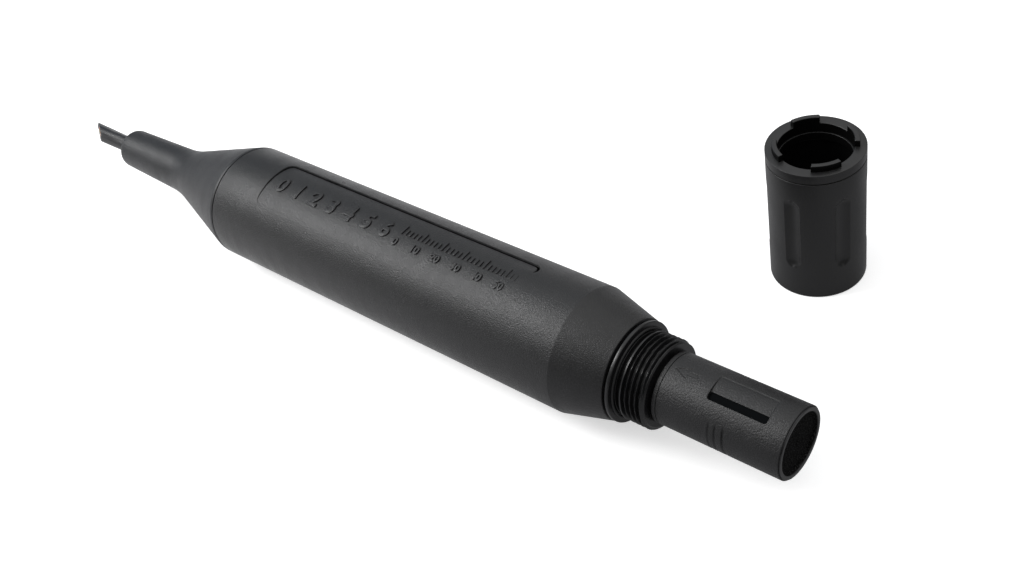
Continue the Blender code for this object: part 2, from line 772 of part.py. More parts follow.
def make_flute_cutter(number, heading):
    """A round-ended bar that scoops one finger flute out of the guard's side."""
    radius = 4.2 * MM
    depth = 1.35 * MM
    centre_r = GUARD_R + radius - depth
    low_z = 16.6 * MM
    high_z = 41.4 * MM
    dome = quarter_dome(radius, 3)
    outline = [(high_z + rise, across) for rise, across in dome]
    outline += [(low_z - rise, across) for rise, across in reversed(dome)]
    place = GUARD_FOOT + Vector((centre_r * math.cos(heading), centre_r * math.sin(heading), 0))
    name = f"flute_{number + 1}"
    return turned(name, outline, None, axis="Z", at=place, closed=False, steps=12, group=CUTTERS)


def make_guard_end_ring():
    """The front ring of the guard, with four tabs that keep the nose off a tank wall."""
    ring_bottom = GUARD_HEIGHT - GUARD_RING_HEIGHT
    top = GUARD_HEIGHT + GUARD_TAB_HEIGHT
    tab_r = GUARD_R - 2.45 * MM
    chamfer = 0.6 * MM
    outline = [
        (top, tab_r - 0.3 * MM),
        (top - 0.3 * MM, tab_r),
        (GUARD_HEIGHT, tab_r),
        (GUARD_HEIGHT, GUARD_R - chamfer),
        (GUARD_HEIGHT - chamfer, GUARD_R),
        (ring_bottom + 0.15 * MM, GUARD_R),
        (ring_bottom, GUARD_R - 0.15 * MM),
        (ring_bottom, GUARD_BORE_R),
        (top, GUARD_BORE_R),
    ]
    ring = turned("guard_end_ring", outline, (DARK_PLASTIC, 0.35), axis="Z", at=GUARD_FOOT)
    gap_width = 11.8 * MM
    first_gap = TAB_HEADING + math.pi / 4
    height = GUARD_TAB_HEIGHT + 2 * MM
    for number, turn in enumerate((0.0, math.pi / 2), start=1):
        centre = GUARD_FOOT + Vector((0, 0, GUARD_HEIGHT + height / 2))
        slot = box(f"tab_slot_{number}", centre, (60 * MM, gap_width, height), None, CUTTERS)
        slot.rotation_euler = (0, 0, first_gap + turn)
        combine(ring, slot)
    return ring


def make_guard():
    adopt(empty("guard_swing_pivot", guard_pivot()), [make_guard_sleeve(), make_guard_end_ring()])


def main():
    clear_scene()
    make_housing()
    make_threaded_head()
    make_sensor_stem()
    optics_rear_x = make_optics()
    make_rear_bulkhead()
    make_boot()
    make_cable()
    make_electronics(optics_rear_x)
    make_sensor_cap()
    make_guard()


main()
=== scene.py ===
"""Looks of the optical water quality probe and its guard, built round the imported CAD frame.

The probe lies along +X with its nose at the origin. The guard stands beside it, mouth down.
Lengths are metres. Angles round the probe are degrees from +Y through +Z, so 90 is its top.
Angles round the guard are degrees from +X through +Y.
"""

import math

import bmesh
import bpy
import numpy as np
from mathutils import Matrix, Vector


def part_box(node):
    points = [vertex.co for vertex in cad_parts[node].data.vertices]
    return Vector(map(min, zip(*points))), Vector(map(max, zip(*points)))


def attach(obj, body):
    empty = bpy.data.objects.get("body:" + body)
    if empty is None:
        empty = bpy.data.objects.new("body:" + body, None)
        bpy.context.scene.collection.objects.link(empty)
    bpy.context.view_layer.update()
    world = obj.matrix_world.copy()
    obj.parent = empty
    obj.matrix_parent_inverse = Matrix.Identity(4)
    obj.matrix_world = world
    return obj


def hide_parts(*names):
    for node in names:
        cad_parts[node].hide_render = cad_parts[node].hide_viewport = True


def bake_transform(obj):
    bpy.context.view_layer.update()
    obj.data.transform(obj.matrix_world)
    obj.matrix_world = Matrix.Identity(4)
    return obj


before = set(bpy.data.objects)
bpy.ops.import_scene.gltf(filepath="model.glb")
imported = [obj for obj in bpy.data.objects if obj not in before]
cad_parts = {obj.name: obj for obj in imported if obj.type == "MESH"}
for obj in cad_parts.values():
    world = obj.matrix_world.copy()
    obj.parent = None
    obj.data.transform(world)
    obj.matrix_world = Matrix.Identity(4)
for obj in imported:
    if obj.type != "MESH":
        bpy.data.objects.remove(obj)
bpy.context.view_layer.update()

MM = 0.001
SHARP_ANGLE = math.radians(38)
SAME_POINT = 0.0005 * MM


# Places and sizes read from the frame


def cad_points(node):
    return np.array([vertex.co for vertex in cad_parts[node].data.vertices])


def span(node):
    """Rear and front station of a CAD node along the probe."""
    low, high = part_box(node)
    return low.x, high.x


def reach(node):
    """Largest distance of a CAD node from the probe's axis."""
    points = cad_points(node)
    return float(np.hypot(points[:, 1], points[:, 2]).max())


def guard_reach():
    """Largest distance of the guard's sleeve from its own upright axis."""
    points = cad_points("guard_sleeve")
    return float(np.hypot(points[:, 0] - GUARD_PLACE.x, points[:, 1] - GUARD_PLACE.y).max())


def shoulder(node):
    """Foremost station at which a CAD node still has its full radius."""
    points = cad_points(node)
    full = np.hypot(points[:, 1], points[:, 2]) > reach(node) - 0.01 * MM
    return float(points[full, 0].max())


BODY_R = reach("housing")
SEAM_X = (span("housing")[0] + span("strain_relief_boot")[1]) / 2
TAPER_REAR_X = shoulder("housing")
TAPER_END_R = 18.5 * MM
BOOT_REAR_X = span("strain_relief_boot")[0]
FLANGE_R = reach("threaded_head")
HEAD_REAR_X, THREAD_END_X = span("threaded_head")
CAP_BASE_X, CAP_FRONT_X = span("cap_shell")
CAP_R = reach("cap_shell")
NOSE_X = span("foil_ring")[1]
FOIL_R = reach("sensing_foil")
CABLE_R = reach("cable")
STEM_FRONT_X = span("sensor_stem")[1]
STEM_R = reach("sensor_stem")
guard_low, guard_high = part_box("guard_sleeve")
GUARD_PLACE = (guard_low + guard_high) / 2
GUARD_R = guard_reach()
GUARD_FOOT_Z = guard_low.z
GUARD_JOIN = guard_high.z - guard_low.z
GUARD_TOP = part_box("guard_end_ring")[1].z - guard_low.z
FLOOR_Z = -BODY_R


# Outlines and skins


def rounded(corners, steps=5):
    """An outline with its corners rounded off. Each corner is (station, radius, rounding)."""
    outline = []
    for number, (station, radius, rounding) in enumerate(corners):
        corner = Vector((station, radius))
        if not rounding:
            outline.append(tuple(corner))
            continue
        before = (Vector(corners[number - 1][:2]) - corner).normalized()
        after = (Vector(corners[(number + 1) % len(corners)][:2]) - corner).normalized()
        half = before.angle(after) / 2
        centre = corner + (before + after).normalized() * rounding / math.sin(half)
        arm = corner + before * rounding / math.tan(half) - centre
        turn = math.pi - 2 * half
        if before.x * after.y - before.y * after.x > 0:
            turn = -turn
        for step in range(steps + 1):
            outline.append(tuple(centre + Matrix.Rotation(turn * step / steps, 2) @ arm))
    return outline


def refined(outline, low, high, step):
    """Adds points where the outline runs between two stations."""
    fine = []
    for start, end in zip(outline, outline[1:] + outline[:1]):
        fine.append(start)
        run = end[0] - start[0]
        inner = [s for s in np.arange(low, high, step) if min(start[0], end[0]) < s < max(start[0], end[0])]
        if run < 0:
            inner.reverse()
        for station in inner:
            share = (station - start[0]) / run
            fine.append((station, start[1] + (end[1] - start[1]) * share))
    return fine


def columns(step, *zones):
    """Angles all round in coarse steps, with finer steps in each (low, high, step) zone."""
    angles = list(np.arange(0, 360, step))
    for low, high, fine_step in zones:
        angles = [a for a in angles if not low <= (a - low) % 360 + low <= high]
        angles += list(np.arange(low, high + fine_step / 2, fine_step) % 360)
    return np.array(sorted(set(np.round(angles, 4))))


def along_probe(station, radius, angle):
    turn = np.radians(angle)
    return np.stack([station, radius * np.cos(turn), radius * np.sin(turn)], -1)


def upright(station, radius, angle):
    """The same for the guard, whose stations are heights above its foot."""
    turn = np.radians(angle)
    x = GUARD_PLACE.x + radius * np.cos(turn)
    y = GUARD_PLACE.y + radius * np.sin(turn)
    return np.stack([x, y, GUARD_FOOT_Z + station], -1)


def circle(station, radius, angles):
    """One ring of points round the probe."""
    return along_probe(station + 0 * angles, radius + 0 * angles, angles)


def laid_round(outline, angles):
    """Stations, radii and angles of an outline carried round an axis, as grids."""
    points = np.array(outline)
    stations = points[:, :1] + 0 * angles
    radii = points[:, 1:] + 0 * angles
    return stations, radii, angles + 0 * stations


def quads(index):
    """The faces between neighbours in a grid of point numbers."""
    corners = [index[:-1, :-1], index[1:, :-1], index[1:, 1:], index[:-1, 1:]]
    return np.stack(corners, -1).reshape(-1, 4).tolist()


def add_mesh(name, points, faces):
    """A closed mesh with outward faces, smooth but for its sharp edges."""
    mesh = bpy.data.meshes.new(name)
    mesh.from_pydata(points, [], faces)
    shape = bmesh.new()
    shape.from_mesh(mesh)
    bmesh.ops.remove_doubles(shape, verts=shape.verts, dist=SAME_POINT)
    bmesh.ops.recalc_face_normals(shape, faces=shape.faces)
    shape.to_mesh(mesh)
    shape.free()
    mesh.shade_smooth()
    mesh.set_sharp_from_angle(angle=SHARP_ANGLE)
    made = bpy.data.objects.new(name, mesh)
    bpy.context.scene.collection.objects.link(made)
    return made


def skin(name, points, closed=True):
    """A grid of points as a mesh: columns join all round, and rows too if the outline is closed."""
    rows, count, _ = points.shape
    index = np.arange(rows * count).reshape(rows, count)
    if closed:
        index = np.vstack([index, index[:1]])
    index = np.hstack([index, index[:, :1]])
    return add_mesh(name, points.reshape(-1, 3).tolist(), quads(index))


def turned(name, outline, angles, relief=None, skin_r=0.0, closed=True):
    """A turned piece. relief(station, angle) is how deep the skin beyond skin_r is cut."""
    stations, radii, turns = laid_round(outline, angles)
    if relief:
        radii = radii - np.where(radii >= skin_r, relief(stations, turns), 0.0)
    return skin(name, along_probe(stations, radii, turns), closed)


def ring(name, station, centre_r, thickness_r):
    """A moulded O-ring with the faint ridge of its mould's parting line."""
    count, outermost = 20, 5
    outline = []
    for step in range(count):
        turn = math.tau * step / count
        swell = thickness_r + (0.03 * MM if step == outermost else 0.0)
        outline.append((station + swell * math.cos(turn), centre_r + swell * math.sin(turn)))
    return turned(name, outline, columns(3.75))


def rounded_box(u, v, half_u, half_v, corner):
    """Signed distance to a rounded rectangle, negative inside."""
    beyond_u = np.abs(u) - half_u + corner
    beyond_v = np.abs(v) - half_v + corner
    outside = np.hypot(np.maximum(beyond_u, 0), np.maximum(beyond_v, 0))
    return outside + np.minimum(np.maximum(beyond_u, beyond_v), 0) - corner


def polygon(u, v, corners):
    """Signed distance to a convex polygon whose corners run anticlockwise, negative inside."""
    distance = np.full(np.shape(u), -1.0)
    for (au, av), (bu, bv) in zip(corners, corners[1:] + corners[:1]):
        length = math.hypot(bu - au, bv - av)
        distance = np.maximum(distance, ((u - au) * (bv - av) - (v - av) * (bu - au)) / length)
    return distance


def ease(value, start, end):
    """0 before start and 1 after end, with a smooth turn between."""
    share = np.clip((value - start) / (end - start), 0, 1)
    return share * share * (3 - 2 * share)


# Materials


def blank(name):
    made = bpy.data.materials.new(name)
    made.use_nodes = True
    return made, made.node_tree, made.node_tree.nodes["Principled BSDF"]


def feed(tree, socket, value):
    """Links a socket to another node's output, or sets it to a plain value."""
    if isinstance(value, bpy.types.NodeSocket):
        tree.links.new(value, socket)
    else:
        socket.default_value = value


def fill(tree, node, inputs):
    for key, value in inputs.items():
        feed(tree, node.inputs[key], value)


def add(tree, kind, inputs=None, **settings):
    made = tree.nodes.new(kind)
    for key, value in settings.items():
        setattr(made, key, value)
    fill(tree, made, inputs or {})
    return made


def placed(tree, kind="Object"):
    """A texture coordinate, by default the point in the object's own axes."""
    return add(tree, "ShaderNodeTexCoord").outputs[kind]


def along(tree, vector, axis):
    return add(tree, "ShaderNodeSeparateXYZ", {"Vector": vector}).outputs[axis]


def vector_math(tree, operation, first, second=(0, 0, 0)):
    return add(tree, "ShaderNodeVectorMath", {0: first, 1: second}, operation=operation)


def noise(tree, size, detail, stretch=(1, 1, 1), roughness=0.5):
    """Noise whose features measure about size, in the object's own coordinates."""
    scale = tuple(1 / (size * s) for s in stretch)
    mapped = add(tree, "ShaderNodeMapping", {"Vector": placed(tree), "Scale": scale})
    inputs = {"Vector": mapped.outputs[0], "Scale": 1.0, "Detail": detail, "Roughness": roughness}
    return add(tree, "ShaderNodeTexNoise", inputs).outputs["Fac"]


def spread(tree, value, low, high, start=0.3, end=0.7):
    inputs = {"Value": value, "From Min": start, "From Max": end, "To Min": low, "To Max": high}
    return add(tree, "ShaderNodeMapRange", inputs).outputs["Result"]


def tint(tree, factor, first, second):
    return add(tree, "ShaderNodeMix", {0: factor, 6: first, 7: second}, data_type="RGBA").outputs[2]


def combine(tree, operation, first, second):
    return add(tree, "ShaderNodeMath", {0: first, 1: second}, operation=operation).outputs[0]


def bump(tree, height, distance, strength=1.0, normal=None):
    inputs = {"Height": height, "Distance": distance, "Strength": strength}
    if normal:
        inputs["Normal"] = normal
    return add(tree, "ShaderNodeBump", inputs).outputs["Normal"]


def shade(colour, factor):
    return (*(channel * factor for channel in colour), 1.0)


def worn_edges(tree):
    """1 on the mesh's outer edges, where handling polishes them."""
    pointed = add(tree, "ShaderNodeNewGeometry").outputs["Pointiness"]
    return spread(tree, pointed, 0.0, 1.0, 0.52, 0.6)


def moulded_plastic(name, colour, roughness, grain, depth, wear=0.25):
    """Satin plastic: fine moulded grain, slow changes of tone and faint handling marks."""
    made, tree, shader = blank(name)
    cloud = noise(tree, 16 * MM, 3.0)
    fine = noise(tree, grain, 3.0, roughness=0.6)
    tone = tint(tree, spread(tree, cloud, 0.0, 1.0), shade(colour, 0.88), shade(colour, 1.12))
    tone = tint(tree, spread(tree, fine, 0.0, 0.35), tone, shade(colour, 1.5))
    edge = combine(tree, "MULTIPLY", worn_edges(tree), wear)
    marks = noise(tree, 5 * MM, 4.0, (1, 3, 3))
    gloss = combine(tree, "ADD", spread(tree, marks, -0.05, 0.05), spread(tree, fine, -0.05, 0.06))
    fill(tree, shader, {
        "Base Color": tint(tree, edge, tone, shade(colour, 2.6)),
        "Roughness": combine(tree, "ADD", gloss, roughness),
        "Normal": bump(tree, fine, depth),
    })
    return made


def away_from_axis(tree, centre, across):
    """Distance from an axis through centre, where across is 1 for the two directions square to it."""
    offset = vector_math(tree, "SUBTRACT", placed(tree), centre).outputs[0]
    flat = vector_math(tree, "MULTIPLY", offset, across).outputs[0]
    return vector_math(tree, "LENGTH", flat).outputs["Value"]


def dull_where(tree, lit):
    """Paints shade: turns a plastic dull black where lit is 0, standing in for the shade in a crease or bore
    that little light enters.
    """
    shader = tree.nodes["Principled BSDF"]
    colour = shader.inputs["Base Color"].links[0].from_socket
    fill(tree, shader, {
        "Specular IOR Level": combine(tree, "MULTIPLY", lit, 0.5),
        "Base Color": tint(tree, lit, (0.002, 0.002, 0.002, 1), colour),
    })


def dull_guard_bore(material):
    """Paints shade on the guard's bore and the tabs, out to just past their faces, but not on what faces up,
    where light falls.
    """
    tree = material.node_tree
    away = away_from_axis(tree, GUARD_PLACE, (1, 1, 0))
    outside = spread(tree, away, 0.12, 1.0, 15.35 * MM, 15.5 * MM)
    upward = spread(tree, along(tree, placed(tree, "Normal"), "Z"), 0.0, 1.0, 0.4, 0.8)
    dull_where(tree, combine(tree, "MAXIMUM", outside, upward))


def dull_panel_crease(material):
    """Paints shade in the deep part of the panel's border."""
    tree = material.node_tree
    away = away_from_axis(tree, (0, 0, 0), (0, 1, 1))
    shallow = spread(tree, away, 0.0, 1.0, BODY_R - 0.75 * MM, BODY_R - 0.5 * MM)
    station = along(tree, placed(tree), "X")
    taper = spread(tree, station, 0.0, 1.0, TAPER_REAR_X - 6 * MM, TAPER_REAR_X - 5 * MM)
    dull_where(tree, combine(tree, "MAXIMUM", shallow, taper))


def rubber(name, colour, roughness):
    """Matt rubber with a bloom of dust and a fine mould finish."""
    made, tree, shader = blank(name)
    dust = noise(tree, 3 * MM, 4.0)
    fine = noise(tree, 0.12 * MM, 2.0)
    bloom = tint(tree, spread(tree, dust, 0.0, 0.5), shade(colour, 1.0), shade(colour, 1.8))
    fill(tree, shader, {
        "Base Color": bloom,
        "Roughness": spread(tree, dust, roughness, roughness + 0.12),
        "Normal": bump(tree, fine, 0.01 * MM),
    })
    return made


def jacket(name, colour, roughness):
    """Extruded cable jacket: lines drawn out lengthwise over faint lumps of the cores."""
    made, tree, shader = blank(name)
    lines = noise(tree, 0.5 * MM, 3.0, (60, 1, 1))
    broad = noise(tree, 1.6 * MM, 2.0, (20, 1, 1))
    specks = noise(tree, 0.2 * MM, 2.0)
    tone = tint(tree, spread(tree, lines, 0.0, 1.0), shade(colour, 0.7), shade(colour, 1.5))
    height = combine(tree, "ADD", combine(tree, "MULTIPLY", broad, 2.0), lines)
    fill(tree, shader, {
        "Base Color": tone,
        "Roughness": spread(tree, broad, roughness - 0.08, roughness + 0.1),
        "Normal": bump(tree, specks, 0.02 * MM, 0.6, bump(tree, height, 0.12 * MM)),
    })
    return made


def speckled_foil(name):
    """Dark, dull luminescent coating with a scatter of paler grains."""
    made, tree, shader = blank(name)
    specks = noise(tree, 0.45 * MM, 3.0, roughness=0.7)
    cloud = noise(tree, 5 * MM, 2.0)
    dark = tint(tree, spread(tree, cloud, 0.0, 1.0), (0.002, 0.002, 0.002, 1), (0.004, 0.004, 0.004, 1))
    tone = tint(tree, spread(tree, specks, 0.0, 1.0, 0.5, 0.68), dark, (0.045, 0.045, 0.045, 1))
    normal = bump(tree, specks, 0.2 * MM)
    fill(tree, shader, {"Base Color": tone, "Roughness": 0.75, "Specular IOR Level": 0.02, "Normal": normal})
    return made


def clear_glass(name, colour, roughness=0.03, see_through=0.92):
    made, tree, shader = blank(name)
    haze = noise(tree, 4 * MM, 3.0)
    fill(tree, shader, {
        "Base Color": tint(tree, haze, shade(colour, 0.96), shade(colour, 1.0)),
        "Roughness": spread(tree, haze, roughness, roughness + 0.05),
        "Transmission Weight": see_through,
        "IOR": 1.5,
    })
    return made


def bare_metal(name, colour, roughness):
    """Turned or pressed metal with fine lines and a little tarnish."""
    made, tree, shader = blank(name)
    lines = noise(tree, 0.08 * MM, 2.0, (1, 12, 12))
    stain = noise(tree, 2 * MM, 3.0)
    tone = tint(tree, spread(tree, stain, 0.0, 1.0), shade(colour, 0.8), shade(colour, 1.05))
    fill(tree, shader, {
        "Base Color": tone,
        "Metallic": 1.0,
        "Roughness": spread(tree, lines, roughness, roughness + 0.2),
        "Normal": bump(tree, lines, 0.01 * MM),
    })
    return made


def plain_solid(name, colour, roughness, variation=0.12):
    """Small inner parts: one colour with a little mottling and a fine texture."""
    made, tree, shader = blank(name)
    mottle = noise(tree, 1.5 * MM, 3.0)
    fine = noise(tree, 0.15 * MM, 2.0)
    tone = tint(tree, mottle, shade(colour, 1 - variation), shade(colour, 1 + variation))
    fill(tree, shader, {
        "Base Color": tone,
        "Roughness": spread(tree, fine, roughness, roughness + 0.08),
        "Normal": bump(tree, fine, 0.01 * MM),
    })
    return made


def board_laminate(name):
    """Green solder mask over copper tracks, as broad bands of lighter tone."""
    made, tree, shader = blank(name)
    tracks = noise(tree, 0.9 * MM, 0.0, (6, 1, 1))
    copper = spread(tree, tracks, 0.0, 1.0, 0.5, 0.53)
    tone = tint(tree, copper, (0.008, 0.09, 0.035, 1), (0.02, 0.2, 0.08, 1))
    fill(tree, shader, {"Base Color": tone, "Roughness": 0.3, "Normal": bump(tree, copper, 0.03 * MM)})
    return made


BLACK = (0.0085, 0.0085, 0.009)
GUARD_BLACK = (0.0095, 0.0095, 0.0098)

body_plastic = moulded_plastic("body_plastic", BLACK, 0.34, 0.45 * MM, 0.2 * MM)
boot_plastic = moulded_plastic("boot_plastic", (0.0085, 0.009, 0.0105), 0.42, 0.4 * MM, 0.14 * MM)
cap_plastic = moulded_plastic("cap_plastic", BLACK, 0.41, 0.55 * MM, 0.24 * MM)
head_plastic = moulded_plastic("head_plastic", (0.006, 0.006, 0.0065), 0.32, 0.3 * MM, 0.02 * MM, 0.5)
guard_plastic = moulded_plastic("guard_plastic", GUARD_BLACK, 0.38, 0.5 * MM, 0.03 * MM)
# painted shade in the guard's bore and on its tabs
dull_guard_bore(guard_plastic)
# painted shade in the deep part of the panel's crease
dull_panel_crease(body_plastic)
# a dull black that paints the shade in the pocket's deep slot
slot_shade_black = plain_solid("slot_shade_black", (0.002, 0.0025, 0.003), 0.8)
slot_shade_black.node_tree.nodes["Principled BSDF"].inputs["Specular IOR Level"].default_value = 0.05
seal_rubber = rubber("seal_rubber", (0.007, 0.007, 0.0075), 0.5)
cable_jacket = jacket("cable_jacket", (0.01, 0.01, 0.011), 0.34)
foil_coating = speckled_foil("foil_coating")
steel = bare_metal("steel", (0.62, 0.61, 0.6), 0.22)
copper = bare_metal("copper", (0.75, 0.36, 0.2), 0.3)


# The probe's skin

PANEL_LOW_ANGLE = 68.5
PANEL_HIGH_ANGLE = 128.0
PANEL_REAR_X = SEAM_X + 23.4 * MM
PANEL_FRONT_X = SEAM_X + 154.2 * MM
WALL = 3.3 * MM


def panel_lean(angle):
    """1 at the panel's +Y edge, falling to 0 at its other edge."""
    return (PANEL_HIGH_ANGLE - angle) / (PANEL_HIGH_ANGLE - PANEL_LOW_ANGLE)


def panel_depth(angle):
    return 0.08 * MM + 0.34 * MM * panel_lean(angle)


def panel_relief(station, angle):
    """The shallow label panel: a rounded rectangle laid round the housing, with a crease at its border."""
    middle_x = (PANEL_REAR_X + PANEL_FRONT_X) / 2
    middle_angle = (PANEL_LOW_ANGLE + PANEL_HIGH_ANGLE) / 2
    half_width = BODY_R * math.radians(PANEL_HIGH_ANGLE - PANEL_LOW_ANGLE) / 2
    across = BODY_R * np.radians(angle - middle_angle)
    edge = rounded_box(station - middle_x, across, (PANEL_FRONT_X - PANEL_REAR_X) / 2, half_width, 3.4 * MM)
    floor = panel_depth(angle) * (1 - ease(edge, -0.25 * MM, 0.0))
    lean = np.clip(panel_lean(angle), 0, 1)
    half_crease = 0.13 * MM + 0.45 * MM * lean**2
    from_crease = np.abs(edge + half_crease) - half_crease
    crease = (0.02 * MM + 0.98 * MM * lean) * (1 - ease(from_crease, -0.13 * MM, 0.02 * MM))
    plain = 1 - 0.9 * ease(lean, 0.75, 0.95)
    fade = plain * ease(station, PANEL_FRONT_X - 14 * MM, PANEL_FRONT_X - 3 * MM)
    return (floor + crease) * (1 - fade)


def make_housing():
    rear_x, front_x = span("housing")
    bore_r = BODY_R - WALL
    front_bore_r = 15.9 * MM
    outline = rounded([
        (front_x, front_bore_r, 0.2 * MM),
        (front_x, TAPER_END_R, 0.5 * MM),
        (TAPER_REAR_X, BODY_R, 0.6 * MM),
        (rear_x, BODY_R, 0.2 * MM),
        (rear_x, bore_r, 0.2 * MM),
        (TAPER_REAR_X - 4.3 * MM, bore_r, 0),
        (front_x - 12.5 * MM, front_bore_r, 0),
    ])
    outside, inside, fine_step = 1 * MM, 4 * MM, 0.13 * MM
    outline = refined(outline, PANEL_REAR_X - outside, PANEL_REAR_X + inside, fine_step)
    outline = refined(outline, PANEL_REAR_X + inside, PANEL_FRONT_X - inside, 4 * MM)
    outline = refined(outline, PANEL_FRONT_X - inside, PANEL_FRONT_X + outside, fine_step)
    angles = columns(
        2.0,
        (PANEL_LOW_ANGLE - 1, PANEL_LOW_ANGLE + 7, 0.25),
        (PANEL_HIGH_ANGLE - 7, PANEL_HIGH_ANGLE + 1, 0.25),
    )
    return turned("housing_shell", outline, angles, panel_relief, BODY_R - 0.1 * MM)


def wrap_on_panel(shape, station, angle, floor_r):
    """Bends a flat relief lying in XY onto the panel, reading along +X with its foot at angle."""
    for vertex in shape.verts:
        turn = math.radians(angle) - vertex.co.y / floor_r
        radius = floor_r + vertex.co.z
        vertex.co = (station + vertex.co.x, radius * math.cos(turn), radius * math.sin(turn))


def sliced(shape, height):
    """Cuts a flat relief into strips, so that it can bend."""
    step = 0.6 * MM
    for level in np.arange(step, height, step):
        everything = shape.verts[:] + shape.edges[:] + shape.faces[:]
        bmesh.ops.bisect_plane(shape, geom=everything, plane_co=(0, level, 0), plane_no=(0, 1, 0))


def numeral(text, height, station, angle, floor_r):
    """A raised plain numeral, centred on a station."""
    figure_height = 0.73
    curve = bpy.data.curves.new("numeral", "FONT")
    curve.body = text
    curve.align_x = "CENTER"
    curve.size = height / figure_height
    curve.offset = height * 0.04
    curve.extrude = 0.42 * MM
    curve.bevel_depth = 0.06 * MM
    curve.bevel_resolution = 1
    curve.resolution_u = 4
    holder = bpy.data.objects.new("numeral", curve)
    mesh = bpy.data.meshes.new_from_object(holder)
    bpy.data.objects.remove(holder)
    shape = bmesh.new()
    shape.from_mesh(mesh)
    bmesh.ops.remove_doubles(shape, verts=shape.verts, dist=0.001 * MM)
    sliced(shape, height)
    wrap_on_panel(shape, station, angle, floor_r)
    return shape


def tick(width, height, station, angle, floor_r):
    """A raised bar of a scale, standing on its foot at angle."""
    shape = bmesh.new()
    bmesh.ops.create_cube(shape, size=1.0)
    bmesh.ops.scale(shape, vec=(width, height, 0.9 * MM), verts=shape.verts)
    bmesh.ops.translate(shape, vec=(0, height / 2, 0), verts=shape.verts)
    bmesh.ops.bevel(shape, geom=shape.edges[:], offset=0.12 * MM, segments=2, affect="EDGES", profile=0.5)
    sliced(shape, height)
    wrap_on_panel(shape, station, angle, floor_r)
    return shape


def merged(name, shapes):
    """Joins separate closed reliefs into one object, sorting the faces that cutting leaves unsorted."""
    points, faces = [], []
    for shape in shapes:
        shape.verts.index_update()
        base = len(points)
        points += [tuple(vertex.co) for vertex in shape.verts]
        faces += sorted([base + vertex.index for vertex in face.verts] for face in shape.faces)
        shape.free()
    return add_mesh(name, points, faces)


def make_panel_scale():
    """Plain raised numerals, and a fine scale with small ones under it."""
    numeral_x, scale_x = SEAM_X + 31 * MM, SEAM_X + 96 * MM
    numeral_pitch, tick_pitch = 9.6 * MM, 2 * MM
    numeral_foot, tick_foot, small_foot = 107, 97.3, 110.5
    # the panel's floor, taken part way up each row
    numeral_floor, tick_floor, small_floor = (BODY_R - panel_depth(angle) for angle in (99, 93, 107))
    shapes = []
    for number in range(7):
        station = numeral_x + number * numeral_pitch
        shapes.append(numeral(str(number), 7 * MM, station, numeral_foot, numeral_floor))
    for number in range(28):
        station = scale_x + number * tick_pitch
        height = 4.2 * MM if number % 5 == 0 else 2.6 * MM
        shapes.append(tick(0.8 * MM, height, station, tick_foot, tick_floor))
    for number in range(0, 30, 5):
        station = scale_x + number * tick_pitch
        shapes.append(numeral(str(2 * number), 3.1 * MM, station, small_foot, small_floor))
    return merged("panel_scale", shapes)


def make_boot():
    """The moulded strain relief: a bell that draws in to a slender sleeve around the cable."""
    slope = 0.323
    front_x = SEAM_X - 0.15 * MM
    cone_front = SEAM_X - 1.3 * MM
    corner_r = 9.85 * MM
    corner_x = cone_front - (BODY_R - corner_r) / slope
    bore_r = CABLE_R + 0.4 * MM
    hollow_r, hollow_rear_r = 19.3 * MM, 13 * MM
    outline = rounded([
        (front_x, BODY_R, 0.2 * MM),
        (cone_front, BODY_R, 2.5 * MM),
        (corner_x, corner_r, 48 * MM),
        (BOOT_REAR_X, 8.5 * MM, 2.4 * MM),
        (BOOT_REAR_X, bore_r, 0.5 * MM),
        (SEAM_X - 23 * MM, bore_r, 0),
        (SEAM_X - 22 * MM, hollow_rear_r, 0),
        (SEAM_X - 6 * MM, hollow_r, 0),
        (front_x, hollow_r, 0),
    ], steps=8)
    outline = refined(outline, BOOT_REAR_X, SEAM_X, 2 * MM)
    return turned("boot_shell", outline, columns(2.5))


# Cable

CUT_TILT_ANGLE = -20.0
CUT_MIDDLE_X = SEAM_X - 114.7 * MM
CUT_RISE = 7.0 * MM
CUT_DIRECTION = Vector((math.cos(math.radians(CUT_TILT_ANGLE)), math.sin(math.radians(CUT_TILT_ANGLE))))
LUMP = 0.16 * MM
CORE_R = 0.85 * MM
CORE_LENGTH = 2.5 * MM
STRAND_R = 0.45 * MM
STRAND_LENGTH = 2.65 * MM
CORE_FRONT_X = CUT_MIDDLE_X + 2.7 * MM


def jacket_r(station, angles):
    """Radius of the jacket, which swells a little over each core."""
    return CABLE_R - LUMP + LUMP * np.cos(np.radians(4 * angles) + station / (14 * MM))


def make_cable():
    """One jacket from the gland to its slanted cut, faintly lumpy where the cores lie."""
    angles = columns(4.0)
    inner_x = span("cable")[1]
    stations = np.arange(inner_x, CUT_MIDDLE_X + CUT_RISE + 1 * MM, -1.0 * MM)
    rows = [circle(inner_x, radius, angles) for radius in (0.0, CABLE_R - 0.4 * MM)]
    for station in stations:
        rows.append(circle(station, jacket_r(station, angles), angles))
    slant = CUT_RISE * np.cos(np.radians(angles - CUT_TILT_ANGLE))
    for share in np.linspace(0.1, 1.0, 12):
        station = stations[-1] + (CUT_MIDDLE_X - slant - stations[-1]) * share
        rows.append(along_probe(station, jacket_r(station, angles), angles))
    mouth = ((CABLE_R - 0.2 * MM, -0.1 * MM), (2.9 * MM, 0.0), (2.8 * MM, 0.6 * MM), (0.0, 0.6 * MM))
    for radius, sink in mouth:
        rows.append(circle(CUT_MIDDLE_X - slant * radius / CABLE_R + sink, radius, angles))
    return skin("cable_jacket", np.array(rows), closed=False)


